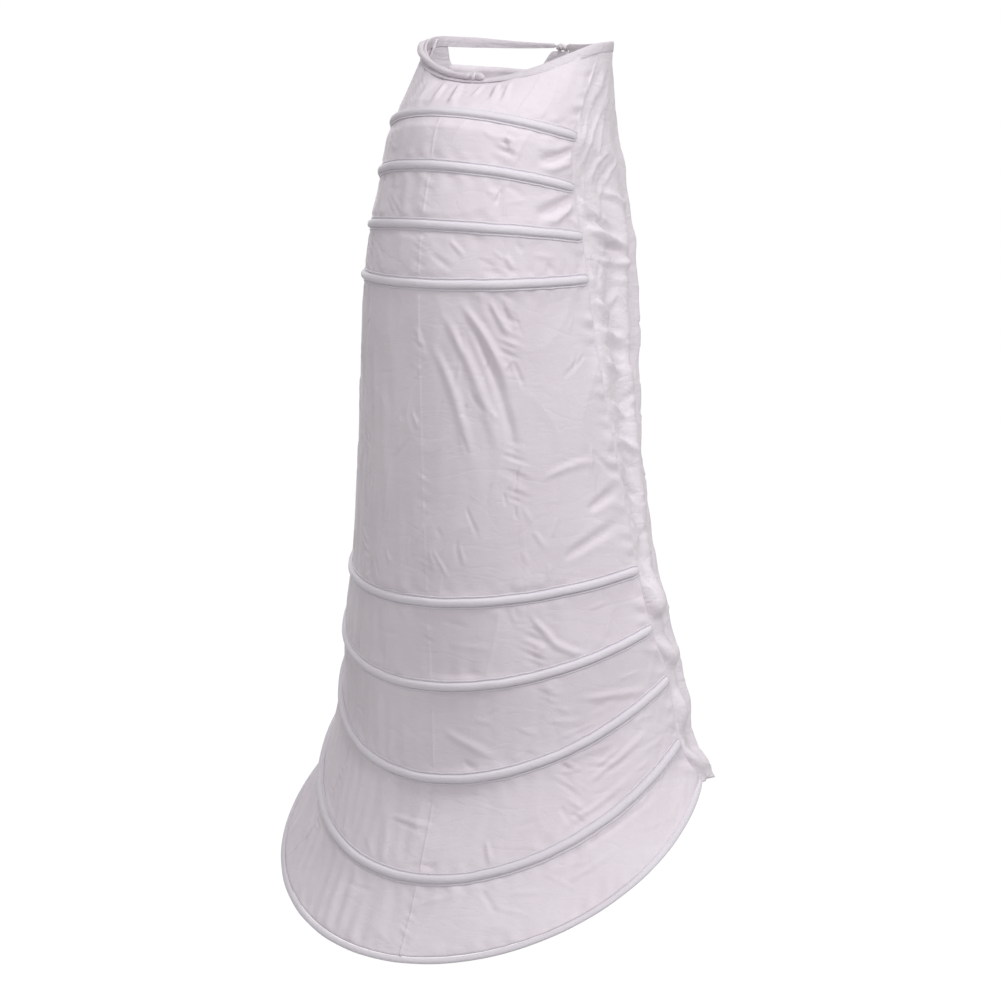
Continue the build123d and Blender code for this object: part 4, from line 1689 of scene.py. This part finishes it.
@dataclass
class Waist:
    """The band with its roll, the string, and the knots."""

    form: Form
    cloth: Cloth
    wardrobe: Wardrobe
    stitches: Stitches
    height: float = 0.012
    end_height: float = 0.005
    wall: float = 0.0007
    gap: float = 0.0003
    opening: float = 5.0
    taper: float = 52.0
    sections: int = 420
    gathers: float = 0.00032
    stitch_inset: float = 0.0016
    string_width: float = 0.0065
    string_thick: float = 0.0008
    string_gap: float = 0.006
    tail_width: float = 0.0042
    roll_radius: float = 0.0040
    roll_span: Pair = (3.0, 84.0)

    def hang(self, angle: Array, depth: Array) -> tuple[Array, Array]:
        """Places on the cloth below the waist's edge, with the direction out.

        Args:
            angle: angle from the centre back to the left, one row each.
            depth: distance below the edge, one row each.

        Returns:
            Points and directions.
        """
        angle, depth = np.broadcast_arrays(angle, depth)
        top = np.full(angle.shape, self.form.waist.drop)
        step = 0.001
        found = []
        for part, s in self.form.waist_shares(angle):
            _, _, up, _ = self.form.frames(part, s, top)
            fall = self.form.cloth(part, s, top) - self.form.cloth(part, s, top + step)
            rate = (fall * up).sum(-1) / step
            p, _, _, out = self.form.frames(part, s, top + depth / rate)
            found.append((p, out))
        behind = (np.abs(angle) <= QUARTER)[..., None]
        return tuple(np.where(behind, b, f) for b, f in zip(*found))

    def room(self, angle: Array) -> Array:
        """Height of the band, which narrows towards the knot on the left."""
        share = np.clip((2 * QUARTER - self.opening - angle) / self.taper, 0, 1)
        return self.end_height + (self.height - self.end_height) * share

    def band(self) -> None:
        """Makes and dresses the folded band, drawn up on its string in small gathers."""
        reach = 2 * QUARTER - self.opening
        angle = np.linspace(-reach, reach, self.sections)
        run = travelled(self.form.waist_frames(angle)[0])
        tall = self.room(angle)
        gather = ripples(run, 0.0065, SEED + 50)
        slow = ripples(run, 0.030, SEED + 51)
        far, near = self.gap + self.wall, self.gap
        body = self.cloth.thickness
        share, depth = np.array([
            (-1, near * 0.2), (-1, far * 0.5), (-0.98, far * 0.7), (-0.75, far * 0.9),
            (-0.4, far + 0.0002), (-0.12, far), (0.0, far * 0.5), (0.02, -body / 2),
            (0.0, -body - far * 0.5), (-0.04, -body - far), (-0.5, -body - far),
            (-0.97, -body - far), (-1, -body - far), (-1, -body - near),
            (-0.97, -body - near), (-0.5, -body - near), (-0.12, -body - near * 0.9),
            (-0.07, -body / 2), (-0.12, near * 0.9), (-0.5, near),
        ]).T[:, None]
        u = share * tall[:, None] + (0.0003 * slow - 0.0002)[:, None]
        swell = 0.2 + 0.8 * np.sin(math.pi * np.clip(-share, 0, 1))
        v = depth + self.gathers * gather[:, None] * swell
        place, away = self.hang(angle[:, None], -u)
        band = Mesh.tube("waistband_cloth", place + away * v[..., None], run)
        self.wardrobe.dress(band, BAND, "waistband")
        place, away = self.hang(angle, tall - self.stitch_inset)
        height = far * 0.85 + 0.0002 + 0.0002 * gather
        row = (place + away * height[:, None], away)
        self.stitches.build("waistband_stitches", [row], SEED + 31)

    def string(self) -> None:
        """Makes and dresses the flat tape in the band, which comes out beside the knot."""
        reach = 2 * QUARTER - math.degrees(self.string_gap / self.form.waist.front)
        angle = np.linspace(-reach, reach, self.sections)
        p, _, up, out = self.form.waist_frames(angle)
        run = travelled(p)
        room = np.minimum(self.string_width, self.room(angle) - self.wall - 0.0010)
        middle = -(self.wall + 0.0005) - room / 2
        turn = around(12)
        wide = squarer(np.cos(turn), 0.35)
        thick = squarer(np.sin(turn), 0.6)
        u = middle[:, None] + room[:, None] / 2 * wide
        v = self.string_thick / 2 * thick - self.cloth.thickness / 2
        v = v + 0.00012 * ripples(run, 0.012, SEED + 52)[:, None]
        rings = swept(p, up, out, u, v)
        string = Mesh.tube("waist_string", rings, run)
        self.wardrobe.dress(string, TAPE, "waist_drawstring")

    def roll(self) -> None:
        """Makes and dresses the rim of the band, rolled over left of the centre back."""
        angle = np.linspace(*self.roll_span, 160)
        p, _, up, out = self.form.waist_frames(angle)
        run = travelled(p)
        share = run / run[-1]
        thick = self.roll_radius * (0.55 + 0.45 * np.sqrt(np.sin(math.pi * (0.04 + 0.92 * share))))
        thick = thick * (1 + 0.05 * ripples(run, 0.012, SEED + 53))
        turn = around(20)
        lump = 1 + 0.05 * np.cos(3 * turn[None, :] + 90 * run[:, None])
        u = thick[:, None] * lump * np.sin(turn) - self.roll_radius * 1.3
        v = thick[:, None] * lump * np.cos(turn) + self.gap + self.wall + self.roll_radius * 0.8
        rings = swept(p, up, out, u, v)
        roll = Mesh.tube("waist_roll_rim", rings, run)
        self.wardrobe.dress(roll, BAND)

    def lump(self, centre: Array, axes: tuple[Array, Array, Array], size: Array,
             seed: int) -> tuple[Array, Array]:
        """Rings of one rounded lump of cloth.

        Args:
            centre: its middle.
            axes: its three directions, the first one along the rings.
            size: half its size along each of them.
            seed: turns its creases.

        Returns:
            The rings and their distances along.
        """
        t = np.linspace(0.02, math.pi - 0.02, 22)
        turn = around(20)
        along = -np.cos(t)[:, None] * size[0]
        grow = np.sin(t)[:, None] ** 0.8
        crease = 1 + 0.10 * np.sin(4 * turn[None, :] + 3 * t[:, None] + seed)
        a = grow * np.cos(turn) * size[1] * crease
        b = grow * np.sin(turn) * size[2] * crease
        x, y, z = axes
        shape = along[..., None] * x + a[..., None] * y + b[..., None] * z
        return centre + shape, t * size[0]

    def join(self, name: str, parts: list[tuple[Array, Array]]) -> bpy.types.Object:
        """Joins several closed lumps or ribbons into one piece.

        Args:
            name: name of the piece.
            parts: rings and distances along of each lump or ribbon.

        Returns:
            The joined piece.
        """
        pieces = [Mesh.tube(f"{name}_{k}", rings, at) for k, (rings, at) in enumerate(parts)]
        with bpy.context.temp_override(active_object=pieces[0], object=pieces[0],
                                       selected_editable_objects=pieces, selected_objects=pieces):
            bpy.ops.object.join()
        pieces[0].name = name
        pieces[0].data.name = name
        return pieces[0]

    def back_knot(self) -> None:
        """Makes and dresses the knot in which the rolled rim ends at the centre back."""
        p, along, up, out = (v[0] for v in self.form.waist_frames(np.array([0.0])))
        middle = p - up * 0.003 + out * (self.gap + self.wall + 0.0030)
        parts = []
        for k, (shift, tilt, size) in enumerate((
                (-0.0062, 0.35, (0.0088, 0.0044, 0.0040)),
                (0.0052, -0.30, (0.0090, 0.0044, 0.0038)),
                (-0.0004, 1.4, (0.0062, 0.0036, 0.0048)))):
            x = unit(along * math.cos(tilt) + up * math.sin(tilt))
            y = np.cross(out, x)
            centre = middle + along * shift
            parts.append(self.lump(centre, (x, y, out), np.array(size), k))
        knot = self.join("back_knot", parts)
        self.wardrobe.dress(knot, BAND, "back_waist_roll")

    def ribbon(self, points: list[Array], twist: float) -> tuple[Array, Array]:
        """Rings of a short flat tail along a smooth line.

        Args:
            points: the line's two ends with the two points between that shape it.
            twist: angle by which the tail turns over its length.

        Returns:
            The rings and their distances along.
        """
        t = np.linspace(0, 1, 40)[:, None]
        a, b, c, d = points
        line = a * (1 - t) ** 3 + 3 * b * t * (1 - t) ** 2 + 3 * c * t * t * (1 - t) + d * t ** 3
        along = unit(np.gradient(line, axis=0))
        side = unit(np.cross(along, np.array([0.0, 1.0, 0.0])))
        away = np.cross(side, along)
        flat = side * np.cos(twist * t) + away * np.sin(twist * t)
        away = np.cross(flat, along)
        wide, thick = tape_outline(self.tail_width, self.string_thick, 0.35)
        return swept(line, flat, away, wide, thick), travelled(line)

    def front_knot(self) -> None:
        """Makes and dresses the string's knot at the centre front, with its two tails."""
        p, _, up, out = (v[0] for v in self.form.waist_frames(np.array([2.0 * QUARTER])))
        middle = p - up * 0.0037 - out * 0.0003
        x, y, z = np.eye(3)
        parts = []
        for k, (shift, tilt, size) in enumerate((
                (-0.0026, 0.6, (0.0048, 0.0032, 0.0034)),
                (0.0026, -0.6, (0.0048, 0.0032, 0.0034)),
                (0.0000, 0.1, (0.0034, 0.0040, 0.0042)))):
            lie = unit(x * math.cos(tilt) + z * math.sin(tilt))
            axes = (lie, np.cross(lie, y), y)
            parts.append(self.lump(middle + x * shift, axes, np.array(size), k))
        for side in (-1, 1):
            route = [middle, middle + x * side * 0.007 - y * 0.004 - z * 0.004,
                     middle + x * side * 0.0085 - y * 0.007 - z * 0.016,
                     middle + x * side * 0.0065 - y * 0.0105 - z * 0.0255]
            parts.append(self.ribbon(route, side * 0.5))
        knot = self.join("front_tied_knot", parts)
        self.wardrobe.dress(knot, TAPE, "front_knot")

    def build(self) -> None:
        """Makes every piece of the waist."""
        for make in (self.band, self.string, self.roll, self.back_knot, self.front_knot):
            make()


@dataclass
class TieTapes:
    """Tapes inside that draw the ends of each half hoop together."""

    form: Form
    wardrobe: Wardrobe
    width: float = 0.012
    thickness: float = 0.0009
    bow_top: float = 0.040
    bow_foot: float = 0.026
    droop: float = 0.0015
    twist: float = 0.10
    cloth_depth: float = 0.0008
    end_gap: float = 0.0014
    inset: float = 0.006

    def start(self, level: Level) -> Array:
        """Point inside a hoop's left end where its tape is sewn.

        Args:
            level: the hoop's level.

        Returns:
            The point.
        """
        drop = np.array([level.drop])
        a, b = (self.form.frames(Part.BACK, np.array([s]), drop)[0] for s in (0.99, 1.0))
        end = 1 - self.inset / float(lengths(b - a)[0] * 100)
        p, _, _, out = self.form.frames(Part.BACK, np.array([end]), drop)
        return (p - out * (self.cloth_depth + self.end_gap))[0]

    def build(self) -> None:
        """Makes and dresses the eight tapes."""
        hoops = self.form.levels[1:-1]
        t = np.linspace(-1, 1, 120)[:, None]
        for k, level in enumerate(hoops):
            share = (level.drop - hoops[0].drop) / (hoops[-1].drop - hoops[0].drop)
            bow = self.bow_top + (self.bow_foot - self.bow_top) * share
            x, y, z = self.start(level)
            line = np.array([0, y + bow, z]) + np.array([x, 0, 0]) * t
            line = line - np.array([0, bow, 0]) * t * t
            line = line - np.array([0, 0, self.droop]) * (1 - t * t)
            along = unit(np.gradient(line, axis=0))
            up = np.array([0.0, 0.0, 1.0]) + 0 * along
            away = np.cross(along, up)
            roll = self.twist * ripples(t[:, 0], 0.5, SEED + 70 + k)[:, None]
            cos, sin = np.cos(roll), np.sin(roll)
            up, away = up * cos + away * sin, away * cos - up * sin
            wide, thick = tape_outline(self.width, self.thickness, 0.3)
            tape = Mesh.tube(f"tie_tape_{level.name}_woven",
                             swept(line, up, away, wide, thick), travelled(line))
            self.wardrobe.dress(tape, TAPE, f"tie_tape_{level.name}")


@dataclass(frozen=True)
class Lamp:
    """A square soft lamp: its place, what it points at, its side and its power in watts."""

    name: str
    place: Triple
    target: Triple
    size: float
    power: float

    def build(self) -> None:
        """Makes the lamp."""
        data = bpy.data.lights.new(self.name, "AREA")
        data.energy = self.power
        data.size = self.size
        lamp = in_scene(self.name, data)
        lamp.location = self.place
        look = Vector(self.target) - Vector(self.place)
        lamp.rotation_euler = look.to_track_quat("-Z", "Y").to_euler()


@dataclass
class Studio:
    """Camera, lamps, floor and sky."""

    camera_place: Triple = (-3.489, 6.043, 0.383)
    heading: float = 30.18
    pitch: float = 7.51
    lens: float = 217.2
    sensor: float = 36.0
    floor_level: float = -1.115
    floor_reach: float = 40.0
    sky: float = 0.30
    seen_floor: float = 0.90
    floor_glow: float = 1.09
    floor_tone: float = 0.50
    lamps: tuple[Lamp, ...] = (
        Lamp("key", (-3.05, 0.2, 1.9), (0, 0.1, -0.5), 1.4, 69),
        Lamp("fill", (-0.6, 4.1, 1.3), (0, 0.1, -0.5), 2.0, 42),
        Lamp("top", (-0.2, 1.0, 3.2), (0, 0.1, -0.4), 1.2, 38),
        Lamp("rim", (2.6, -2.4, 0.3), (0.1, 0.0, -0.7), 1.2, 40),
    )

    def build(self) -> None:
        """Makes the whole studio."""
        self.camera()
        self.floor()
        self.world()
        for lamp in self.lamps:
            lamp.build()

    def camera(self) -> None:
        """Places the camera at the photograph's viewing angle."""
        data = bpy.data.cameras.new("camera")
        data.lens = self.lens
        data.sensor_width = self.sensor
        data.clip_end = 100
        camera = in_scene("camera", data)
        head, dip = math.radians(self.heading), math.radians(self.pitch)
        look = Vector((math.sin(head) * math.cos(dip), -math.cos(head) * math.cos(dip),
                       -math.sin(dip)))
        camera.location = self.camera_place
        camera.rotation_mode = "QUATERNION"
        camera.rotation_quaternion = look.to_track_quat("-Z", "Y")
        bpy.context.scene.camera = camera

    def floor(self) -> None:
        """Makes a wide pale floor that shows white and keeps a soft shadow."""
        mesh = bpy.data.meshes.new("floor")
        corners = [(-1, -1), (1, -1), (1, 1), (-1, 1)]
        points = [(x * self.floor_reach, y * self.floor_reach, self.floor_level)
                  for x, y in corners]
        mesh.from_pydata(points, [], [(0, 1, 2, 3)])
        material, nodes, shader = new_material("pale floor")
        nodes.fill(shader, {"Base Color": (*[self.floor_tone] * 3, 1), "Roughness": 0.9})
        glow = nodes.add("ShaderNodeEmission",
                         {"Color": (1, 1, 1, 1), "Strength": self.floor_glow})
        seen = nodes.add("ShaderNodeLightPath").outputs["Is Camera Ray"]
        share = nodes.math("MULTIPLY", seen, self.seen_floor)
        mix = nodes.add("ShaderNodeMixShader",
                        {0: share, 1: shader.outputs[0], 2: glow.outputs[0]})
        nodes.fill(nodes.tree.nodes["Material Output"], {"Surface": mix.outputs[0]})
        mesh.materials.append(material)
        in_scene("floor", mesh)

    def world(self) -> None:
        """Makes a plain pale sky, white where the camera sees it."""
        world = bpy.data.worlds.new("sky")
        bpy.context.scene.world = world
        world.use_nodes = True
        nodes = Nodes(world.node_tree)
        seen = nodes.add("ShaderNodeLightPath").outputs
        most = nodes.math("MAXIMUM", seen["Is Camera Ray"], seen["Is Glossy Ray"])
        most = nodes.math("MAXIMUM", most, seen["Is Transmission Ray"])
        strength = nodes.math("ADD", nodes.math("MULTIPLY", most, 1 - self.sky), self.sky)
        nodes.fill(world.node_tree.nodes["Background"],
                   {"Color": (1, 1, 1, 1), "Strength": strength})
        bpy.context.scene.view_settings.view_transform = "Standard"


def main() -> None:
    """Builds the petticoat and the studio in order."""
    logging.basicConfig(level=logging.INFO, format="%(message)s")
    form = Form()
    cloth = Cloth(form)
    wardrobe = Wardrobe()
    stitches = Stitches(wardrobe)
    Studio().build()
    Waist(form, cloth, wardrobe, stitches).build()
    BackCloth(form, cloth, wardrobe).build()
    FrontCloth(form, cloth, wardrobe).build()
    Casings(form, cloth, wardrobe, stitches).build()
    HemTube(form, cloth, wardrobe, stitches).build()
    TieTapes(form, wardrobe).build()


if __name__ == "__main__":
    main()
